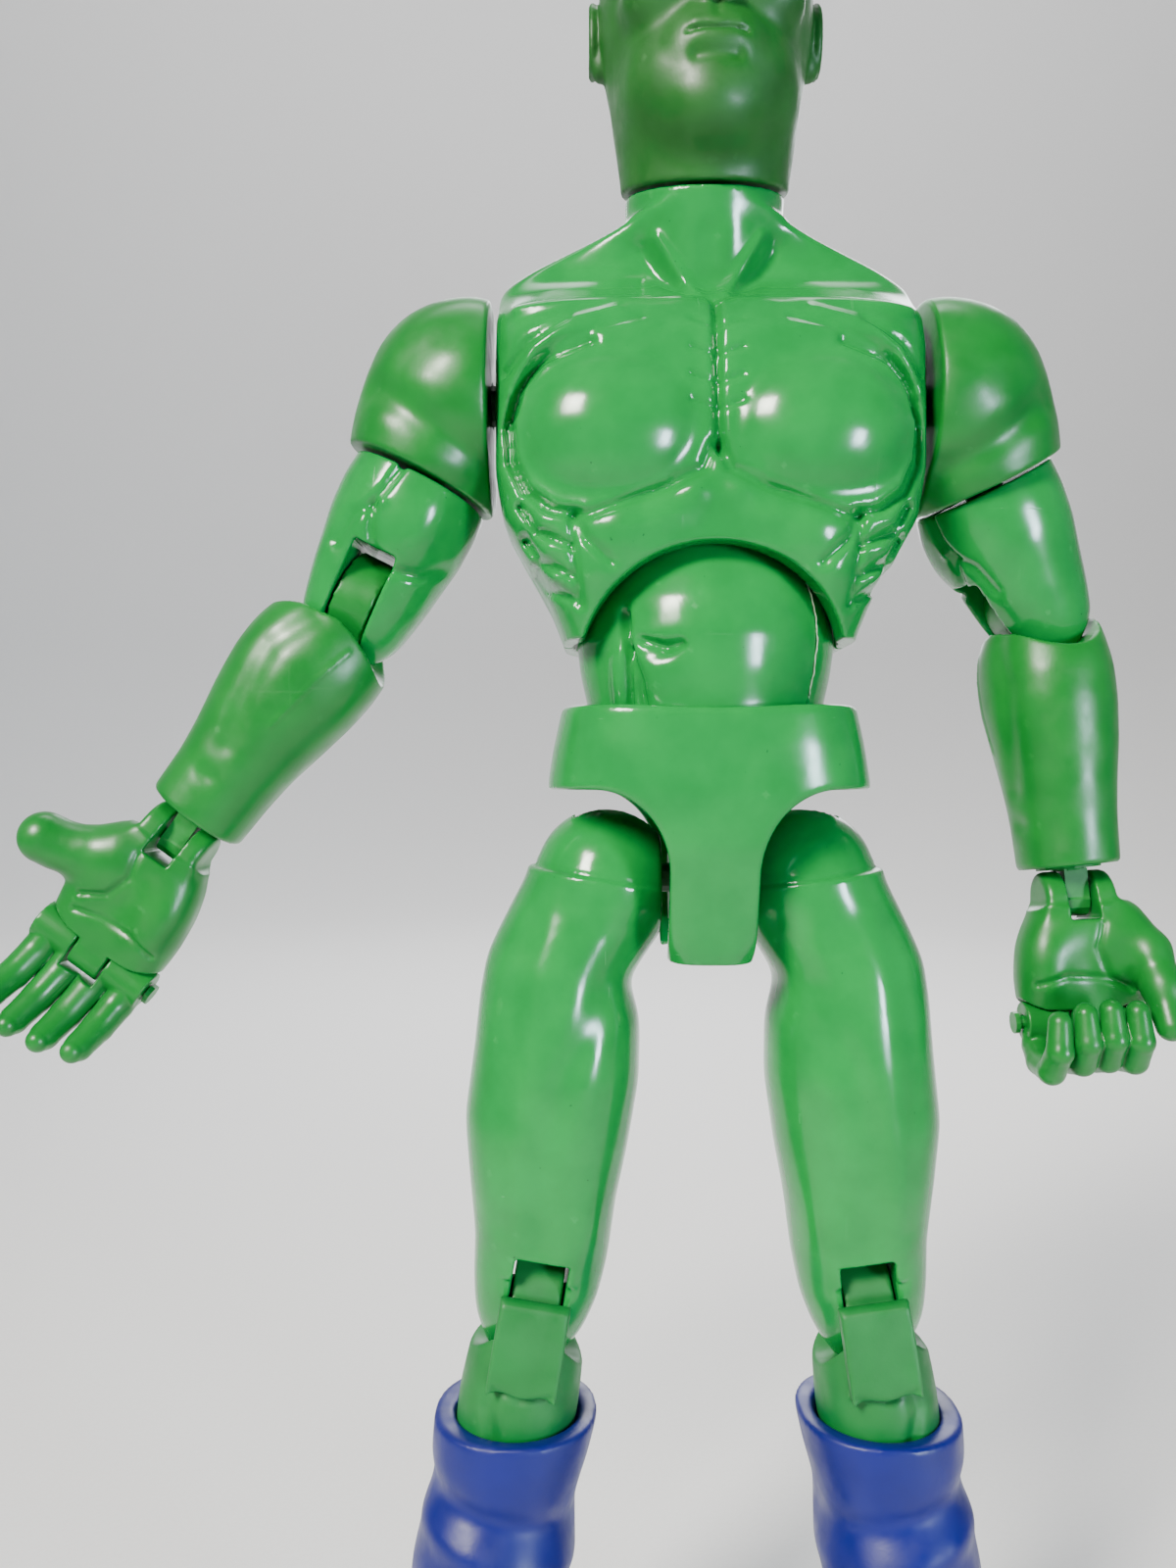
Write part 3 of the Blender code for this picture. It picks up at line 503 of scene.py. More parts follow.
# the outline of one breast muscle from the breastbone round to the armpit, as (x, z)
BREAST_EDGE = (
    (0.5, 208.0),
    (1.8, 204.8),
    (6.3, 202.5),
    (11.6, 200.6),
    (17.4, 198.7),
    (22.0, 199.6),
    (25.6, 202.4),
    (27.6, 206.8),
    (28.0, 211.9),
    (26.6, 216.4),
    (23.4, 219.6),
    (16.9, 221.9),
)


def torso():
    """The whole chest shell, before it is parted into its front and back."""
    c = Clay((-32, -25, 181), (32, 22, 253), 0.40)
    w = 30.5  # half the width between the flat shoulder faces
    rows = [
        (182.8, -20.6, 20.6, -16.0, 16.0),
        (188.0, -22.6, 22.6, -17.6, 17.4),
        (194.0, -26.0, 26.0, -18.6, 18.5),
        (200.0, -29.3, 29.3, -18.8, 19.4),
        (207.0, -w, w, -19.0, 20.0),
        (216.0, -w, w, -19.0, 20.0),
        (224.0, -w, w, -18.2, 18.8),
        (228.4, -w, w, -15.6, 17.2),
        (230.6, -w, w, -11.5, 16.4),
        (233.0, -w, w, -7.4, 15.2),
        (235.4, -30.0, 30.0, -5.2, 14.4),
        (238.0, -26.2, 26.2, -4.6, 13.8),
        (240.6, -20.0, 20.0, -5.2, 13.2),
        (242.6, -14.6, 14.6, -6.6, 12.6),
        (244.2, -11.0, 11.0, -8.0, 11.0),
    ]
    c.add(c.stack(rows, 4.4, 1.0))
    # neck, leaning forward, with its flared root
    tilt = math.tan(math.radians(NECK_TILT))
    lean = -(c.z - NECK_Z) * tilt
    neck = np.sqrt(c.x**2 + (c.y - lean) ** 2) - 11.6
    neck = np.maximum(neck, 222 - c.z)
    c.add(neck, 2.2)
    mask = c.front(-4.0, 2.0)
    ax = np.abs(c.x)
    # breast muscles, with a fine lip round their lower and outer edge
    for side in (-1, 1):
        c.add(c.ball((side * 13.4, -12.4, 210.8), (14.2, 9.7, 12.0)), 0.8)
        edge = [(side * x, z) for x, z in BREAST_EDGE]
        c.groove(edge, 0.85, 0.95, where=mask)
        mx, mz = 13.6, 210.8
        inside = [(side * (mx + (x - mx) * 0.93), mz + (z - mz) * 0.93) for x, z in BREAST_EDGE]
        c.groove(inside[2:], 0.5, -0.28, where=mask)
    c.groove([(0.0, 229.5), (0.0, 221), (0.1, 212), (0.4, 207)], 0.6, 1.5, where=mask)
    for z in (224.6, 220.4, 216.6, 213.2):
        for s in (-1, 1):
            c.groove([(s * 0.6, z - 0.5), (s * 3.4, z + 0.6)], 0.42, 0.42, where=mask)
    # fans of muscle running up to the collar bones
    for s in (-1, 1):
        line = sided(s, [(27.2, 213), (25.6, 218), (21.5, 221.6), (15, 224.2), (10, 225.6)])
        c.groove(line, 0.7, 0.45, where=mask)
        line = sided(s, [(27.6, 216), (24.5, 221.4), (19, 225.2), (13, 227.0)])
        c.groove(line, 0.7, -0.35, where=mask)
        c.groove(sided(s, [(20, 225.2), (25.5, 222.2), (28.4, 219.0)]), 0.7, 0.40, where=mask)
        # collar bone ridge and the hollow above it
        line = sided(s, [(3.2, 229.0), (9, 229.6), (17, 229.0), (27, 227.8)])
        c.groove(line, 1.0, -0.55, where=mask)
        c.bump((s * 9.4, -13.0, 231.6), (3.0, 3.0, 1.5), -1.3)
        # the two cords of the throat meet in a pit
        c.groove(sided(s, [(7.6, 240.5), (5.2, 236.6), (1.7, 231.4)]), 0.9, -0.75, where=mask)
        c.groove(sided(s, [(9.4, 239.5), (6.9, 235.0), (3.6, 231.0)]), 1.2, 1.0, where=mask)
    c.groove([(0.0, 240), (0.0, 233)], 1.9, 0.55, where=mask)
    c.bump((0, -12.6, 230.6), (2.0, 3.0, 1.8), -1.7)
    # rib cage under the breast: two small and two large swellings
    for s in (-1, 1):
        c.bump((s * 2.9, -19.0, 201.6), (2.5, 4.0, 2.3), 1.0)
        c.bump((s * 12.6, -18.0, 196.8), (4.6, 5.0, 3.8), 1.7)
        c.bump((s * 6.6, -18.6, 198.4), (3.4, 4.0, 2.4), 0.8)
        c.groove(sided(s, [(19.0, 199.0), (17.6, 195.6), (14.2, 192.4)]), 0.65, 0.75, where=mask)
        c.bump((s * 15.6, -16.0, 191.4), (2.4, 4.0, 2.2), 0.9)
        c.groove(sided(s, [(19.4, 198.4), (19.0, 193), (18.2, 187.2)]), 0.6, 0.70, where=mask)
        # finger-like muscles on the ribs
        for (x0, z0), (x1, z1), (x2, z2) in (
            ((26.4, 200.6), (24.2, 197.0), (19.6, 194.8)),
            ((25.8, 196.6), (23.6, 193.2), (19.6, 191.0)),
            ((24.6, 192.6), (22.6, 189.8), (19.4, 188.0)),
        ):
            c.groove([(s * x0, z0), (s * x1, z1), (s * x2, z2)], 0.6, 0.75, where=mask)
        for x, z in ((22.8, 198.2), (22.6, 194.4), (21.8, 191.0)):
            c.bump((s * x, -14.5, z), (2.2, 5.0, 1.2), 0.5)
    # shallow back: spine channel and shoulder blades
    back = 1 - c.front(4.0, 2.0)
    c.groove([(0, 240), (0, 186)], 1.6, 1.1, where=back)
    for s in (-1, 1):
        line = sided(s, [(20, 229), (11, 222), (8, 214), (13, 207), (24, 203)])
        c.groove(line, 1.1, 0.8, where=back)
        c.bump((s * 15, 18, 217), (7, 4, 8), 0.15)
        c.groove(sided(s, [(5.0, 212), (9.0, 200), (17, 190)]), 1.2, 0.6, where=back)
    # flat shoulder faces
    c.keep(ax - w, 0.5)
    # hollow for the waist ball, and its arched edge
    arch = (np.sqrt((c.x / 18.9) ** 2 + ((c.z - 176.4) / 18.9) ** 2) - 1) * 18
    c.carve(arch, 0.5)
    c.carve(c.ball((0, 0, WAIST_Z), 19.3), 0.3)
    hollow = c.stack(
        [
            (206.0, -25.4, 25.4, -15.4, 15.5),
            (216.0, -25.4, 25.4, -15.4, 16.0),
            (226.0, -25.4, 25.4, -12.5, 14.5),
            (228.5, -22.0, 22.0, -8.5, 11.5),
        ],
        4.0,
    )
    c.carve(hollow)
    c.carve(c.drum("z", (0, 0, 203), 4.15, 9))
    c.carve(c.drum("x", (0, 0, SHOULDER_Z), 3.2, 45))
    # the head turns on a face square to the neck
    normal = (0, -math.sin(math.radians(NECK_TILT)), math.cos(math.radians(NECK_TILT)))
    height = c.y * normal[1] + (c.z - NECK_Z) * normal[2]
    c.keep(height + 0.2, 0.4)
    radius = np.sqrt(np.maximum(c.x**2 + c.y**2 + (c.z - NECK_Z) ** 2 - height**2, 0))
    c.carve(np.maximum(radius - 4.2, -26 - height))
    return c


def build_chest():
    clay = torso()
    for name, side in (("chest_front", 1), ("chest_back", -1)):
        half = clay.copy()
        half.keep(side * half.y + 0.06, 0.12)
        skin(name + "_skin", half, WORLD, "chest", HARD, [name])


# ---------------------------------------------------------------- waist and hips


def build_abdomen():
    c = Clay((-20, -20, 163), (20, 20, 199), 0.36)
    profile = [
        (164.0, 16.0),
        (166.0, 16.6),
        (174.0, 17.2),
        (178.4, 18.2),
        (183.0, 18.8),
        (187.7, 18.2),
        (192.0, 16.5),
        (196.0, 13.6),
        (197.8, 11.6),
    ]
    z = c.z.ravel()
    fine = np.arange(160, 202, 0.2)
    values = np.interp(fine, [p[0] for p in profile], [p[1] for p in profile])
    kernel = np.exp(-((np.arange(-12, 13) * 0.2 / 1.2) ** 2))
    values = np.convolve(np.pad(values, 12, mode="edge"), kernel / kernel.sum(), mode="valid")
    radius = np.interp(z, fine, values).reshape(1, 1, -1)
    r = np.sqrt(c.x**2 + c.y**2)
    c.add(np.maximum(r - radius, np.maximum(164 - c.z, c.z - 197.6)))
    mask = c.front(-6.0, 2.0)
    # navel, and the channel that widens below it
    c.groove([(-0.6, 186), (-0.2, 181), (-0.6, 176), (-1.4, 168)], 0.8, 1.3, where=mask)
    c.groove([(0.0, 181.5), (1.6, 177.0), (2.2, 168)], 0.8, 0.8, where=mask)
    c.groove([(-0.6, 184), (-4.2, 180), (-5.0, 172)], 1.3, 0.5, where=mask)
    c.groove([(2.4, 182.2), (5.6, 181.2), (7.6, 181.6)], 0.7, 1.0, where=mask)
    c.bump((5.0, -17.4, 180.6), (2.4, 3.0, 1.2), -0.7)
    c.bump((-2.6, -18.0, 175.5), (1.6, 3.0, 4.0), 0.5)
    c.bump((3.6, -18.0, 175.5), (2.0, 3.0, 4.0), 0.5)
    # flash left along the glued parting line
    c.swell(0.16 * np.exp(-((c.y / 0.42) ** 2)) * (r > 10))
    c.carve(np.maximum(r - radius + 2.3, np.maximum(174.2 - c.z, c.z - 194.5)), 0.6)
    c.carve(np.maximum(r - 10.6, 190 - c.z), 0.6)
    c.carve(np.maximum(r - 14.6, np.maximum(167.2 - c.z, c.z - 171.8)))
    c.carve(np.maximum(r - 3.15, c.z - 170))
    c.carve(np.maximum(r - 2.7, np.abs(c.z - 173) - 4))
    place = turn(ABDOMEN_TURN, "Z")
    for name, side in (("abdomen_front", 1), ("abdomen_back", -1)):
        half = c.copy()
        half.keep(side * half.y + 0.04, 0.08)
        skin(name + "_skin", half, place, "abdomen", HARD, [name])
    # a pale thread of dried glue stands a hair proud of the parting line
    heights = np.arange(175.0, 194.1, 0.4)
    lines = []
    for z in heights:
        wander = 0.10 * math.sin(1.7 * z) + 0.06 * math.sin(4.1 * z)
        lines.append((float(np.interp(z, fine, values)) + 0.16, wander, float(z)))
    thread("abdomen_glue", lines, 0.13, place, "abdomen", GLUE)


def build_pelvis():
    c = Clay((-25, -21.5, 136.5), (25, 21.5, 175.5), 0.38)
    rows = [
        (137.8, -6.3, 6.3, -13.0, 13.0),
        (139.0, -7.2, 7.2, -13.9, 13.9),
        (146.0, -13.0, 13.0, -15.6, 15.6),
        (154.0, -21.0, 21.0, -18.0, 18.0),
        (162.0, -23.2, 23.2, -19.4, 19.4),
        (168.0, -22.2, 22.2, -19.8, 19.8),
        (173.9, -20.9, 20.9, -19.6, 19.6),
    ]
    hollow = [
        (130.0, -6.2, 6.2, -10.6, 10.6),
        (139.0, -6.6, 6.6, -11.4, 11.4),
        (146.0, -11.6, 11.6, -13.2, 13.2),
        (154.0, -19.2, 19.2, -15.8, 15.8),
        (162.0, -21.0, 21.0, -17.1, 17.1),
        (171.0, -19.6, 19.6, -17.7, 17.7),
        (180.0, -18.3, 18.3, -17.7, 17.7),
    ]
    c.add(c.stack(rows, 3.3, 1.2))
    # the top rim dips a little at the front and back
    dip = 0.9 * np.exp(-((c.x / 12) ** 2))
    c.keep(c.z - 174.0 + dip, 1.3)
    c.carve(c.stack(hollow, 2.7, 1.2), 0.4)
    # leg openings
    ax = np.abs(c.x)
    across = np.maximum(16.5 - ax, 0) / 10.4
    above = np.maximum(c.z - 150.5, 0) / 11.5
    arch = np.sqrt(across**2 + above**2)
    opening = np.maximum((arch - 1) * 10.5, 6.0 - ax + 0.0 * c.z)
    c.carve(opening, 0.6)
    c.keep(ax - 23.1, 0.6)
    for name, side in (("pelvis_front", 1), ("pelvis_back", -1)):
        half = c.copy()
        half.keep(side * half.y + 0.06, 0.12)
        skin(name + "_skin", half, WORLD, "pelvis", HARD, [name])


# ---------------------------------------------------------------- head


def build_head():
    c = Clay((-20, -24, 240), (20, 20, 293), 0.36)
    # neck skirt, jaw and skull
    rows = [
        (240.0, -12.2, 12.2, -9.4, 14.8),
        (247.0, -12.2, 12.2, -11.6, 12.8),
        (251.0, -12.4, 12.4, -13.0, 12.0),
        (258.0, -13.4, 13.4, -13.2, 12.4),
        (264.0, -14.2, 14.2, -14.4, 14.0),
        (270.0, -14.4, 14.4, -14.6, 15.0),
        (276.0, -13.6, 13.6, -13.6, 14.6),
    ]
    c.add(c.stack(rows, 2.0, 1.2))
    c.add(c.ball((0, -0.6, 275.6), (15.4, 17.6, 16.4)), 4.0)
    c.add(c.ball((0, -9.0, 260.4), (12.2, 9.6, 9.4)), 4.0)
    c.add(c.ball((0, -12.6, 255.2), (6.2, 5.8, 4.6)), 3.5)
    # brow, cheeks and the plane of the face
    face = c.front(-12, 0.6)
    lips = c.front(-14, 0.6)
    c.add(c.rod((-6.4, -14.6, 277.6), (6.4, -14.6, 277.6), 2.7), 2.4)
    for s in (-1, 1):
        c.add(c.ball((s * 8.2, -12.6, 270.2), (4.4, 4.2, 3.4)), 2.6)
        # eye socket, ball and lids, looking calmly ahead
        c.carve(c.ball((s * 5.4, -18.6, 274.0), (3.6, 2.8, 2.1)), 1.4)
        c.add(c.ball((s * 5.4, -14.4, 273.8), (3.0, 2.9, 2.5)), 0.25)
        line = sided(s, [(2.8, 273.5), (4.2, 274.7), (5.8, 275.0), (7.9, 274.0)])
        c.groove(line, 0.32, -0.42, where=face)
        line = sided(s, [(3.0, 273.2), (4.6, 272.4), (6.4, 272.5), (7.8, 273.5)])
        c.groove(line, 0.30, -0.30, where=face)
        c.groove(sided(s, [(2.6, 278.2), (5.6, 279.4), (8.8, 278.4)]), 0.7, -0.28, where=face)
    # nose
    c.add(c.rod((0, -16.6, 276.0), (0, -19.2, 269.6), 1.1, 1.7), 1.4)
    for s in (-1, 1):
        c.add(c.ball((s * 1.7, -18.2, 268.9), (1.2, 1.5, 1.1)), 0.8)
        c.carve(c.ball((s * 0.95, -19.2, 267.9), (0.5, 0.7, 0.5)), 0.3)
    # mouth and chin
    c.add(c.ball((0, -16.2, 263.0), (5.6, 3.0, 4.0)), 2.4)
    c.add(c.rod((-2.8, -18.2, 263.9), (2.8, -18.2, 263.9), 0.75), 0.7)
    c.add(c.rod((-2.3, -18.0, 262.1), (2.3, -18.0, 262.1), 0.9), 0.7)
    line = [(-4.0, 262.8), (-1.6, 263.1), (0, 262.95), (1.6, 263.1), (4.0, 262.8)]
    c.groove(line, 0.30, 0.55, where=lips)
    c.groove([(-2.6, 259.9), (2.6, 259.9)], 1.1, 0.5, where=lips)
    c.groove([(0, 267.4), (0, 265.2)], 0.55, 0.30, where=lips)
    # ears: a shell with a raised rim
    for s in (-1, 1):
        c.add(c.ball((s * 15.6, 0.8, 272.6), (1.5, 3.3, 4.9)), 0.8)
        c.add(c.ball((s * 15.4, -0.2, 268.6), (1.4, 1.9, 2.2)), 0.7)
        c.carve(c.ball((s * 17.2, 0.2, 272.6), (1.2, 1.9, 3.2)), 0.5)
        rim = np.abs(np.sqrt(((c.y - 0.8) / 3.2) ** 2 + ((c.z - 272.8) / 4.7) ** 2) - 1) * 3.6
        rim = np.sqrt(rim**2 + (c.x - s * 16.5) ** 2) - 0.62
        c.add(np.maximum(rim, 268.0 - c.z), 0.35)
    # skirt of the neck stops square to the neck
    normal = (0, -math.sin(math.radians(NECK_TILT)), math.cos(math.radians(NECK_TILT)))
    height = c.y * normal[1] + (c.z - NECK_Z) * normal[2]
    c.keep(-height + 0.2, 0.5)
    radius = np.sqrt(np.maximum(c.x**2 + c.y**2 + (c.z - NECK_Z) ** 2 - height**2, 0))
    c.carve(np.maximum(radius - 4.2, height - 9.6))
    c.keep(c.z - 291.6, 1.0)
    skin("head_skin", c, WORLD, "head", HEAD, ["head"])


# ---------------------------------------------------------------- arms


def build_shoulder(limb):
    s = limb["side"]
    c = Clay((-0.6, -15.6, -17.2), (21.4, 15.6, 16.2), 0.34)
    # the disc at the chest grows out into the muscle and runs down to the bicep's turning face
    c.add(c.ball((3.4, 0, 0.2), (13.0, 14.9, 14.9)))
    c.add(c.ball((7.4, 0, -1.2), (11.6, 13.6, 14.8)), 2.0)
    c.add(c.ball((13.0, 0, -6.0), (6.9, 10.6, 9.8)), 3.0)
    tilt = math.radians(ARM_TILT)
    axis = (math.sin(tilt), -math.cos(tilt))
    bx = BICEP_X - SHOULDER_X
    bz = BICEP_Z - SHOULDER_Z
    u = (c.x - bx) * axis[0] + (c.z - bz) * axis[1]
    v = (c.x - bx) * axis[1] - (c.z - bz) * axis[0]
    sleeve = np.sqrt(v**2 + c.y**2) - 10.25
    c.add(np.maximum(sleeve, -u - 7.0), 5.0)
    mask = c.front(-4.0, 2.0)
    # a soft valley parts the cap of the muscle from the swelling above the cut
    c.groove([(1.0, -10.5), (6.0, -7.6), (11.0, -3.8), (16.0, -0.6)], 2.2, 0.9, where=mask)
    c.bump((9.5, -9.6, -11.2), (5.0, 4.0, 3.2), 0.7)
    c.groove([(1.5, 8.0), (7.0, 5.5), (13.0, 0.5)], 3.0, 0.35, where=mask)
    c.keep(u + 0.1, 0.35)
    c.keep(0.15 - c.x, 0.5)
    c.carve(c.drum("x", (3, 0, 0), 3.1, 7))
    if s < 0:
        c.flip()
    name = limb["name"] + "_shoulder"
    skin(name + "_skin", c, shoulder_frame(limb), name, SOFT, [name])


def build_upper_arm(limb):
    s = limb["side"]
    c = Clay((-13, -13, -28.5), (13, 13, 0.6), 0.34)
    rows = [
        (-0.3, -10.1, 10.1, -10.0, 10.0),
        (-4.0, -10.5, 10.5, -10.4, 10.2),
        (-9.0, -10.3, 10.3, -10.0, 9.8),
        (-14.0, -9.4, 9.4, -8.6, 8.8),
        (-19.5, -8.5, 8.5, -7.8, 7.8),
        (-23.5, -7.8, 7.8, -6.8, 6.8),
        (-26.2, -6.6, 6.6, -4.6, 4.6),
        (-27.4, -5.0, 5.0, -2.0, 2.0),
    ]
    c.add(c.stack(rows, 2.15, 1.4))
    mask = c.front(-3.0, 1.5)
    # biceps on the inner half, its end above the elbow, and the bulge of the outer muscle
    c.bump((-s * 3.6, -9.0, -7.0), (4.6, 3.2, 6.0), 0.9)
    c.bump((s * 6.2, -5.5, -15.5), (3.0, 3.6, 5.0), 0.7)
    c.bump((-s * 7.2, -3.5, -16.0), (3.0, 4.6, 4.6), 0.7)
    line = sided(s, [(1.4, -0.5), (2.0, -4.0), (2.8, -7.2), (1.6, -10.4), (0.4, -12.4)])
    c.groove(line, 0.7, 0.75, where=mask)
    c.groove(sided(s, [(2.8, -7.2), (5.0, -9.6), (5.6, -14.0)]), 0.9, 0.55, where=mask)
    line = sided(s, [(-0.2, -12.6), (-3.4, -14.2), (-7.0, -13.0), (-9.6, -10.0)])
    c.groove(line, 0.8, 0.75, where=mask)
    c.bump((s * 1.7, -10.3, -6.4), (0.75, 1.6, 0.75), 0.55)
    c.keep(c.z + 0.35, 0.4)
    # slot for the forearm's tongue, with its opening flared at the top
    e = -UPPER_ARM_LENGTH
    c.carve(c.block(-3.3, 3.3, -20, 20, -40, e + 7.2), 0.3)
    c.carve(c.drum("z", (0, 0, -2.2), 3.05, 4))
    c.carve(c.drum("z", (0, 0, -5.5), 4.1, 1.3))
    name = limb["name"] + "_upper_arm"
    skin(name + "_skin", c, upper_arm_frame(limb), name, HARD, [name])


def build_forearm(limb):
    s = limb["side"]
    end = -FOREARM_LENGTH
    c = Clay((-13, -11.5, end - 0.8), (13, 11.5, 8.2), 0.36)
    rows = [
        (-1.0, -8.2, 8.0, -5.6, 7.0),
        (-3.5, -9.0, 8.8, -7.0, 8.2),
        (-7.0, -9.8, 9.9, -8.4, 9.0),
        (-11.0, -10.1, 10.8, -9.2, 9.4),
        (-16.0, -9.8, 10.8, -9.3, 9.3),
        (-22.0, -8.9, 9.9, -8.6, 8.8),
        (-28.0, -7.9, 8.6, -7.8, 8.0),
        (-33.0, -7.5, 7.8, -7.3, 7.5),
        (end, -7.4, 7.4, -7.1, 7.1),
    ]
    if s < 0:
        rows = [(z, -x1, -x0, y0, y1) for z, x0, x1, y0, y1 in rows]
    c.add(c.stack(rows, 2.1, 1.6))
    mask = c.front(-2.0, 1.5)
    c.bump((-s * 8.0, -4.0, -12.5), (3.6, 4.6, 6.5), 0.5)
    c.groove(sided(s, [(2.4, -6), (4.6, -13), (3.2, -21), (1.2, -28)]), 1.8, 0.55, where=mask)
    c.groove(sided(s, [(-4.6, -7.0), (-3.4, -14.0), (-2.4, -22.0)]), 0.34, -0.20, where=mask)
    c.bump((s * 0.9, -7.6, -33.2), (1.7, 1.6, 1.2), -0.5)
    c.keep(end - c.z, 1.1)
    # seat that clears the elbow, tongue and eye
    c.carve(c.drum("x", (0, 0, 0), ELBOW_R + 0.35, 30), 0.5)
    carry = math.radians(-s * limb["carry"])
    ex = c.x * math.cos(carry) + c.z * math.sin(carry)
    ez = -c.x * math.sin(carry) + c.z * math.cos(carry)
    eye = np.maximum(np.sqrt(c.y**2 + ez**2) - 6.6, np.abs(ex) - 2.9)
    web = np.maximum(np.abs(ex) - 2.9, np.maximum(np.abs(c.y - 0.5) - 4.5, np.abs(ez + 6.4) - 4.4))
    c.add(low(eye, web, 0.8), 0.4)
    c.carve(np.maximum(np.sqrt(c.y**2 + ez**2) - 1.62, np.abs(ex) - 8))
    # recess in the cuff and the wrist's bore
    c.carve(c.drum("z", (0, 0, end), 5.6, 2.2), 0.4)
    c.carve(c.drum("z", (0, 0, end), 2.62, 10.0))
    name = limb["name"] + "_forearm"
    skin(name + "_skin", c, forearm_frame(limb), name, SOFT, [name])


def chain(c, path, radii, k):
    """Rods end to end along path, eased into each other over k."""
    field = None
    for i in range(len(path) - 1):
        part = c.rod(path[i], path[i + 1], radii[i], radii[i + 1])
        field = part if field is None else low(field, part, k)
    return field


def build_palm(limb):
    s = limb["side"]
    drop = limb["knuckle_drop"]
    far = 23.0 if not limb["fist"] else 14.0
    c = Clay((-13.5, -12.5, -26.5), (far, 7.0, 5.0), 0.28)
    rows = [
        (-1.2, -6.4, 6.4, -4.7, 4.3),
        (-3.6, -7.9, 8.2, -5.3, 4.6),
        (-0.38 * drop, -9.1, 9.5, -5.6, 4.8),
        (-0.62 * drop, -9.6, 9.8, -5.1, 4.7),
        (4.2 - drop, -9.5, 9.3, -4.2, 4.3),
        (0.8 - drop, -9.1, 8.8, -3.0, 3.2),
        (-2.0 - drop, -8.6, 8.4, -2.4, 2.6),
    ]
    c.add(c.stack(rows, 2.5, 1.4))
    # the wrist goes up into the cuff as a barrel about its pin
    barrel = np.sqrt(c.y**2 + (c.z * 0.98) ** 2) - 4.25
    c.add(high(high(barrel, np.abs(c.x) - 5.1, 1.2), -c.z - 3.0), 1.6)
    # ball of the thumb, heel of the hand, hollow and the folds of the palm
    c.bump((6.0, -4.6, -0.36 * drop), (3.6, 2.8, 4.4), 1.3)
    c.bump((-6.2, -4.6, -0.55 * drop), (2.8, 2.6, 5.6), 0.9)
    c.bump((0.4, -5.0, -0.62 * drop), (3.4, 2.6, 4.6), -1.2)
    mask = c.front(-1.5, 0.8)
    c.groove([(2.2, -3.5), (1.2, -7.0), (2.6, -11.0), (6.0, -13.2)], 0.5, 0.45, where=mask)
    fold = [(-7.5, 5.6 - drop), (-3.5, 6.6 - drop), (1.5, 6.2 - drop), (5.5, 4.8 - drop)]
    c.groove(fold, 0.5, 0.40, where=mask)
    # cords on the back, ending in knuckles
    for x in (-7.1, -2.35, 2.35, 7.1):
        c.groove([(x * 0.35, -3.0), (x, 3.4 - drop)], 0.8, -0.30, where=1 - mask)
        c.bump((x, 4.4, 3.2 - drop), (1.6, 1.6, 1.6), 0.5)
    if limb["fist"]:
        path = ((6.2, -2.2, -3.6), (8.5, -4.2, -8.0), (9.0, -6.6, -12.8), (8.8, -8.8, -18.2))
        radii = (3.1, 3.1, 2.75, 2.15)
    else:
        path = ((5.4, -1.6, -5.6), (9.6, -2.4, -8.6), (12.8, -3.0, -9.6), (15.0, -3.4, -9.9))
        radii = (4.3, 3.7, 3.5, 3.8)
    c.add(chain(c, path, radii, 1.2), 1.6)
    # seat of the finger bar, with the palm's own lug between its eyes
    k = -drop
    ax = np.abs(c.x)
    seat = low(c.drum("x", (0, 0, k), 3.4, 30), c.z - k + 0.0 * c.y)
    if limb["fist"]:
        seat = high(seat, c.x - 5.9)
    c.carve(high(seat, 2.5 - ax), 0.2)
    c.carve(high(high(c.z - k, 3.0 - np.sqrt(c.y**2 + (c.z - k) ** 2)), ax - 2.9), 0.1)
    c.add(c.drum("x", (0, 0, k), 3.0, 2.5), 0.2)
    c.carve(c.drum("x", (0, 0, k), 1.05, 30 if not limb["fist"] else 5.5))
    c.carve(c.block(-2.1, 2.1, -9, 9, -2.9, 9), 0.25)
    c.carve(c.drum("x", (0, 0, 0), 1.02, 4.7))
    if s < 0:
        c.flip()
    name = limb["name"]
    nodes = [name + "_palm"]
    skin(name + "_palm_skin", c, hand_frame(limb), name + "_hand", SOFT, nodes)


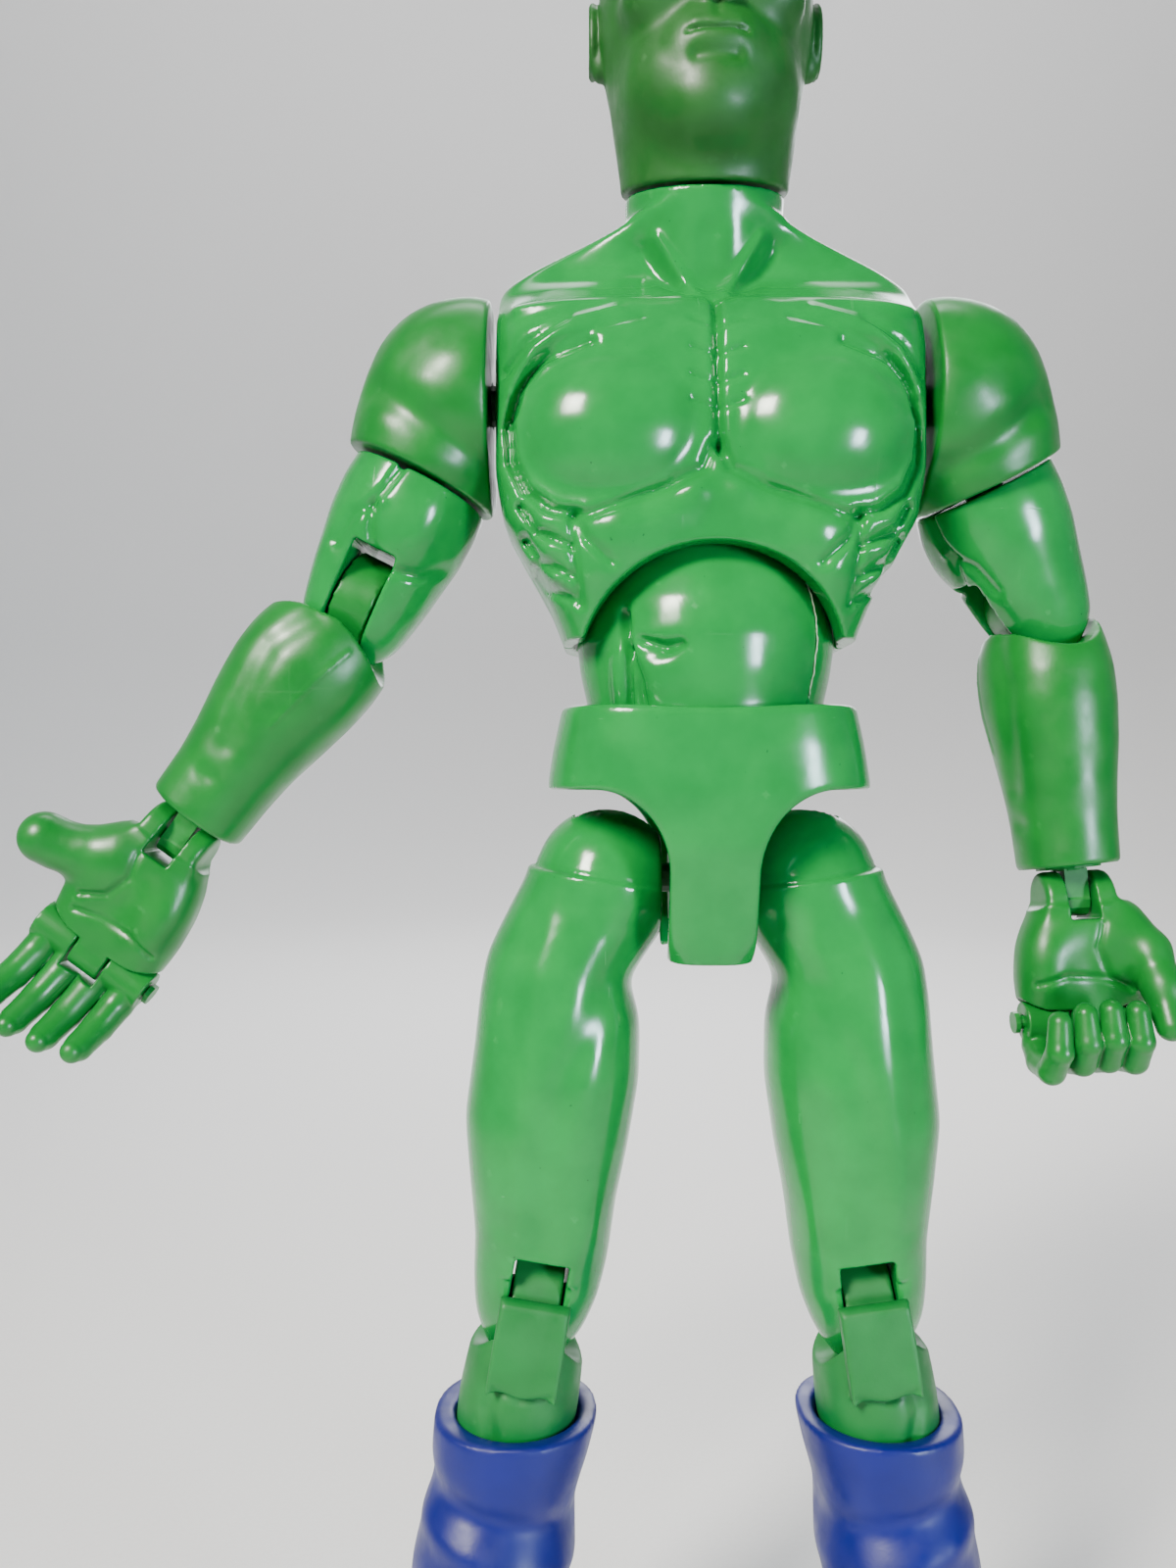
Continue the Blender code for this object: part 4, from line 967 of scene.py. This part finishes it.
def build_fingers(limb):
    s = limb["side"]
    fist = limb["fist"]
    if fist:
        c = Clay((-12.2, -13.6, -8.6), (6.4, 4.4, 5.6), 0.24)
        c.add(c.drum("x", (-1.75, 0, 0), 2.95, 7.2), 0.3)
        lifts = (-0.9, 0.1, 0.4, 0.0)
    else:
        c = Clay((-11.5, -11.6, -17.0), (11.5, 4.4, 4.2), 0.24)
        c.add(c.drum("x", (0, 0, 0), 3.0, 9.4), 0.3)
        lifts = (0.84, 0.97, 1.03, 0.93)
    for i, lift in enumerate(lifts):
        if fist:
            x = -7.3 + 3.65 * i
            lean = (-0.8, 0.0, 0.0, 0.0)[i]
            path = (
                (x, -0.2, -0.6),
                (x + 0.3 * lean, -0.6, -3.5),
                (x + lean, -3.4, -5.4),
                (x + lean, -7.6, -5.3 + lift),
                (x + 0.5 * lean, -10.4, -2.4 + lift),
                (x, -10.3, 1.6 + lift),
            )
            radii = (1.9, 1.98, 1.95, 1.95, 1.90, 1.62)
        else:
            x = -7.1 + 4.73 * i
            path = (
                (x, -0.2, -0.6),
                (x, -0.6, -4.6 * lift),
                (x * 1.02, -2.8, -8.8 * lift),
                (x * 1.03, -6.0, -12.0 * lift),
                (x * 1.02, -7.2, -12.6 * lift),
            )
            radii = (2.35, 2.42, 2.28, 2.05, 1.7)
        c.add(chain(c, path, radii, 0.25), 0.18)
    # eyes either side of the palm's lug
    c.carve(c.block(-2.9, 2.9, -4.4, 4.4, -3.4, 9), 0.2)
    c.carve(c.drum("x", (0, 0, 0), 1.05, 30))
    if s < 0:
        c.flip()
    name = limb["name"] + "_fingers"
    skin(name + "_skin", c, knuckle_frame(limb), name, SOFT, [name])


# ---------------------------------------------------------------- legs


def build_thigh(limb):
    s = limb["side"]
    c = Clay((-11.5, -14.8, -71), (17.5, 14.8, 11.2), 0.42)
    rows = [
        (-0.6, -8.6, 11.0, -10.2, 10.0),
        (-3.0, -9.4, 12.2, -10.5, 10.3),
        (-9.0, -7.9, 14.1, -11.4, 11.2),
        (-14.0, -6.4, 15.5, -12.1, 11.9),
        (-20.0, -8.4, 15.5, -12.7, 12.5),
        (-28.0, -9.6, 15.0, -12.9, 12.7),
        (-37.5, -9.6, 14.7, -12.4, 12.3),
        (-46.0, -9.2, 12.6, -11.4, 11.4),
        (-54.0, -9.4, 10.4, -10.0, 9.2),
        (-60.0, -9.0, 9.6, -9.0, 8.2),
        (-65.0, -7.8, 8.6, -7.3, 7.0),
        (-68.6, -6.2, 7.0, -4.6, 4.6),
        (-70.0, -4.8, 5.6, -2.2, 2.2),
    ]
    c.add(c.stack(rows, 2.15, 2.0))
    c.add(c.ball((0, 0, 0), 10.45), 3.0)
    mask = c.front(-3.0, 2.0)
    # the inner muscle folds in below the groin; the great front muscles run to the knee
    c.bump((-7.6, -3.0, -14.5), (3.0, 7.0, 3.0), -0.7)
    c.groove([(-6.0, -6), (-2.0, -16), (1.5, -28), (2.5, -40), (0.5, -52)], 2.6, 0.55, where=mask)
    c.groove([(9.5, -8), (10.2, -22), (8.8, -38), (6.5, -50)], 2.0, 0.40, where=mask)
    c.bump((-5.6, -9.0, -49.0), (3.4, 4.0, 6.0), 0.8)
    c.bump((6.2, -9.0, -45.0), (3.4, 4.0, 7.0), 0.6)
    back = 1 - c.front(3.0, 2.0)
    c.groove([(2.0, -14), (1.0, -34), (0.0, -54)], 2.0, 0.5, where=back)
    # ball of the hip stays round
    c.keep(np.where(c.z > 0, np.sqrt(c.x**2 + c.y**2 + c.z**2) - 10.6, -9.0))
    if s < 0:
        c.flip()
    # flat inner face that passes the pelvis, hip slot, knee slot and kneecap room
    tilt = math.radians(-s * limb["leg_tilt"])
    world_x = s * HIP_X + c.x * math.cos(tilt) + c.z * math.sin(tilt)
    c.carve(np.maximum(s * world_x - 6.6, -c.z - 12.5), 0.5)
    x0, x1 = sorted((-s * 20, s * 6.0))
    c.carve(c.block(x0, x1, -2.55, 2.55, -6.0, 20))
    k = -THIGH_LENGTH
    c.carve(c.block(-3.9, 3.9, -30, 30, k - 20, k + 7.7), 0.3)
    c.carve(c.block(-5.5, 5.5, -30, -8.0, k - 20, k + 4.2), 0.5)
    name = limb["name"] + "_thigh"
    skin(name + "_skin", c, hip_frame(limb), name, HARD, [name])


def build_shin(limb):
    s = limb["side"]
    c = Clay((-10, -12.5, -31), (10, 11, 8.4), 0.34)
    rows = [
        (-30.5, -7.2, 7.2, -8.0, 8.0),
        (-24.0, -7.6, 7.6, -8.2, 8.2),
        (-19.5, -8.6, 8.6, -9.3, 9.2),
        (-15.0, -8.8, 8.8, -9.6, 9.4),
        (-10.0, -8.5, 8.5, -9.4, 8.6),
        (-5.0, -8.0, 8.0, -8.8, 7.2),
        (-1.0, -7.4, 7.4, -8.2, 6.0),
    ]
    c.add(c.stack(rows, 2.2, 1.6))
    c.groove(sided(s, [(3.5, -9), (4.2, -14), (2.6, -19)]), 1.1, 0.6, where=c.front(-4, 1.5))
    c.carve(c.drum("x", (0, 0, 0), KNEE_R + 0.45, 30), 0.5)
    eye = c.drum("x", (0, 0, 0), 7.2, 3.55)
    c.add(low(eye, c.block(-3.55, 3.55, -5.0, 5.0, -12, -2), 0.6), 0.4)
    # kneecap: a blunt wedge that stands in front of the thigh's end
    cap = c.block(-5.0, 5.0, -11.1, -8.5, -11.0, 2.2)
    slope = (c.y + 11.2) * 0.55 + (c.z + 3.2) * -0.10
    cap = high(cap, -slope - 0.2, 0.8)
    c.add(high(cap, c.z * 0.75 - (c.y + 11.0) * 0.5 - 1.2, 0.6), 0.9)
    c.add(c.block(-3.4, 3.4, -9.2, -4.0, -8.0, 1.0), 0.3)
    c.groove([(-4.0, -10.2), (0, -11.6), (4.0, -10.2)], 0.7, 0.5, where=c.front(-6, 1.0))
    c.carve(c.drum("x", (0, 0, 0), 1.92, 8))
    name = limb["name"] + "_shin"
    skin(name + "_skin", c, knee_frame(limb), name, PALE, [name])


def leg_line(limb, z):
    return limb["side"] * (HIP_X + (HIP_Z - z) * math.tan(math.radians(limb["leg_tilt"])))


def build_boot(limb):
    s = limb["side"]
    rows = [
        (0.0, 10.4, -32.4, 15.4),
        (1.2, 11.0, -33.2, 16.2),
        (5.0, 11.0, -33.4, 16.2),
        (9.0, 10.7, -32.0, 15.6),
        (14.0, 10.2, -27.0, 14.4),
        (20.0, 9.9, -19.0, 12.8),
        (28.0, 9.9, -13.6, 11.8),
        (38.0, 10.6, -12.6, 12.0),
        (50.0, 11.7, -12.6, 13.0),
        (57.0, 11.2, -11.8, 12.4),
        (60.0, 10.7, -11.4, 12.0),
        (66.0, 11.6, -12.0, 12.3),
        (71.2, 12.0, -12.2, 12.5),
    ]
    table = []
    for z, half, y0, y1 in rows:
        x = leg_line(limb, max(z, 12.0))
        table.append((z, x - half, x + half, y0, y1))
    middle = leg_line(limb, 40)
    c = Clay((middle - 20, -35, -1.0), (middle + 20, 18, 72.4), 0.48)
    c.add(c.stack(table, 2.25, 1.6))
    x0 = leg_line(limb, 56)
    # soft folds where the shaft leans on the foot
    mask = c.front(-2.0, 3.0)
    back = 1 - c.front(2.0, 3.0)
    folds = (
        (60.0, 6.0, 0.9),
        (54.5, 6.5, -0.8),
        (34, -4.0, 0.8),
        (30, -5.0, -0.6),
        (25.5, -4.0, 0.8),
    )
    for zz, lift, depth in folds:
        line = [(x0 - s * 11, zz - lift * 0.5), (x0, zz - 0.4), (x0 + s * 11, zz + lift * 0.5)]
        c.groove(line, 2.2, depth, where=mask if zz > 40 else 1.0)
    c.groove([(x0 - 10, 31), (x0 + 10, 29)], 2.0, 0.7, where=back)
    c.keep(c.z - 71.1, 1.1)
    # sole line and heel
    c.groove([(-35, 4.2), (18, 4.2)], 0.55, 0.55, across="yz")
    c.carve(np.maximum(np.abs(c.y - 1.0) - 1.5, c.z - 0.8), 0.3)
    # inside of the shaft, in the shin's own frame
    tilt = math.radians(-s * limb["leg_tilt"])
    knee = knee_frame(limb).translation
    dx = c.x - knee[0]
    dz = c.z - knee[2]
    lx = dx * math.cos(tilt) - dz * math.sin(tilt)
    lz = dx * math.sin(tilt) + dz * math.cos(tilt)
    room = high(
        np.sqrt((lx / 9.7) ** 2 + (c.y / 10.3) ** 2) * 9.9 - 9.9 + np.clip(-14 - lz, 0, 10) * 0.18,
        -(lz + 76.4),
    )
    c.carve(room, 0.5)
    name = limb["name"] + "_boot"
    skin(name + "_skin", c, WORLD, limb["name"] + "_shin", BLUE, [name])


# ---------------------------------------------------------------- carried-over pins


def paint_inner():
    soft = ("_wrist_link", "_finger_pin")
    for name, node in frame["nodes"].items():
        mat = SOFT if name.endswith(soft) else INNER
        node.data.materials.clear()
        node.data.materials.append(mat)


# ---------------------------------------------------------------- stage, light and camera


def build_stage():
    """A round pale floor whose edge curves up into a wall."""
    profile = []
    radius = 1.25
    bend = 0.35
    for i in range(2):
        profile.append((radius * i * 0.6, 0.0))
    for i in range(13):
        angle = math.pi / 2 * i / 12
        profile.append((radius + bend * math.sin(angle), bend - bend * math.cos(angle)))
    profile.append((radius + bend, 2.4))
    steps = 96
    verts = [(0, 0, 0)]
    faces = []
    for r, z in profile[1:]:
        for k in range(steps):
            a = 2 * math.pi * k / steps
            verts.append((r * math.cos(a), r * math.sin(a), z))
    for k in range(steps):
        faces.append((0, 1 + k, 1 + (k + 1) % steps))
    for row in range(len(profile) - 2):
        for k in range(steps):
            a = 1 + row * steps + k
            b = 1 + row * steps + (k + 1) % steps
            faces.append((a, a + steps, b + steps, b))
    mesh = bpy.data.meshes.new("floor")
    mesh.from_pydata(verts, [], faces)
    mesh.polygons.foreach_set("use_smooth", [True] * len(faces))
    floor = bpy.data.objects.new("floor", mesh)
    bpy.context.scene.collection.objects.link(floor)
    mat = bpy.data.materials.new("pale_floor_and_painted_wall_shade")
    mat.use_nodes = True
    tree = mat.node_tree
    shader = tree.nodes["Principled BSDF"]
    shader.inputs["Roughness"].default_value = 0.95
    shader.inputs["Specular IOR Level"].default_value = 0.1
    # the floor is pale all over; the wall in front of the figure is painted dark, a painted shade
    # standing in for a dim room, so that the glossy plastic keeps its depth
    place = tree.nodes.new("ShaderNodeTexCoord")
    split = tree.nodes.new("ShaderNodeSeparateXYZ")
    # painted shade: the base colour falls from pale to dark as the wall climbs in front of the figure
    shade = tree.nodes.new("ShaderNodeMapRange")
    shade.inputs["From Min"].default_value = 0.0
    shade.inputs["From Max"].default_value = 0.6
    shade.inputs["To Min"].default_value = 0.82
    shade.inputs["To Max"].default_value = 0.10
    ahead = tree.nodes.new("ShaderNodeMapRange")
    ahead.inputs["From Min"].default_value = 0.3
    ahead.inputs["From Max"].default_value = -1.2
    climb = tree.nodes.new("ShaderNodeMath")
    climb.operation = "MULTIPLY"
    grain = tree.nodes.new("ShaderNodeTexNoise")
    grain.inputs["Scale"].default_value = 900
    tint = tree.nodes.new("ShaderNodeMapRange")
    tint.inputs["To Min"].default_value = 0.96
    tint.inputs["To Max"].default_value = 1.04
    blend = tree.nodes.new("ShaderNodeMath")
    blend.operation = "MULTIPLY"
    link = tree.links.new
    link(place.outputs["Object"], split.inputs["Vector"])
    link(place.outputs["Object"], grain.inputs["Vector"])
    link(split.outputs["Y"], ahead.inputs["Value"])
    link(split.outputs["Z"], climb.inputs[0])
    link(ahead.outputs["Result"], climb.inputs[1])
    link(climb.outputs["Value"], shade.inputs["Value"])
    link(grain.outputs["Fac"], tint.inputs["Value"])
    link(shade.outputs["Result"], blend.inputs[0])
    link(tint.outputs["Result"], blend.inputs[1])
    link(blend.outputs["Value"], shader.inputs["Base Color"])
    mesh.materials.append(mat)


def area_light(name, place, target, size, power, colour, spread):
    light = bpy.data.lights.new(name, "AREA")
    light.shape = "RECTANGLE"
    light.size, light.size_y = size
    light.energy = power
    light.color = colour
    light.spread = math.radians(spread)
    ob = bpy.data.objects.new(name, light)
    bpy.context.scene.collection.objects.link(ob)
    ob.location = place
    ob.rotation_euler = (Vector(target) - Vector(place)).to_track_quat("-Z", "Y").to_euler()
    return ob


def build_light():
    middle = (0, 0, 0.16)
    area_light("window_warm", (-0.55, -0.75, 0.75), middle, (0.28, 0.34), 2.2, (1.0, 0.95, 0.86), 50)
    area_light("window_cool", (0.62, -0.70, 0.10), middle, (0.14, 0.30), 0.8, (0.70, 0.85, 1.0), 50)
    area_light("overhead", (0.0, 0.75, 1.5), (0.0, 0.75, 0.0), (1.2, 1.0), 5.0, (1.0, 1.0, 1.0), 60)
    area_light("wall_wash", (0.0, 0.55, 1.9), (0.0, 1.6, 0.75), (1.6, 0.5), 11.0, (1.0, 1.0, 1.0), 110)
    area_light("fill_back", (0.2, 1.0, 0.7), middle, (0.8, 0.8), 1.6, (0.95, 0.97, 1.0), 60)
    world = bpy.data.worlds.new("studio")
    world.use_nodes = True
    background = world.node_tree.nodes["Background"]
    background.inputs["Color"].default_value = (0.86, 0.90, 0.95, 1)
    background.inputs["Strength"].default_value = 0.12
    bpy.context.scene.world = world


def build_camera():
    camera = bpy.data.cameras.new("camera")
    camera.sensor_fit = "VERTICAL"
    camera.sensor_height = 36.0
    camera.lens = 28.1
    camera.clip_start = 0.01
    ob = bpy.data.objects.new("camera", camera)
    bpy.context.scene.collection.objects.link(ob)
    ob.location = ((STAND.x - 17.2) * MM, (STAND.y - 181.0) * MM, 162.8 * MM)
    ob.rotation_euler = (math.radians(90), 0, 0)
    bpy.context.scene.camera = ob


build_camera()
build_chest()
build_abdomen()
build_pelvis()
build_head()
for limb in (RIGHT, LEFT):
    build_shoulder(limb)
    build_upper_arm(limb)
    build_forearm(limb)
    build_palm(limb)
    build_fingers(limb)
    build_thigh(limb)
    build_shin(limb)
    build_boot(limb)
paint_inner()
build_stage()
build_light()
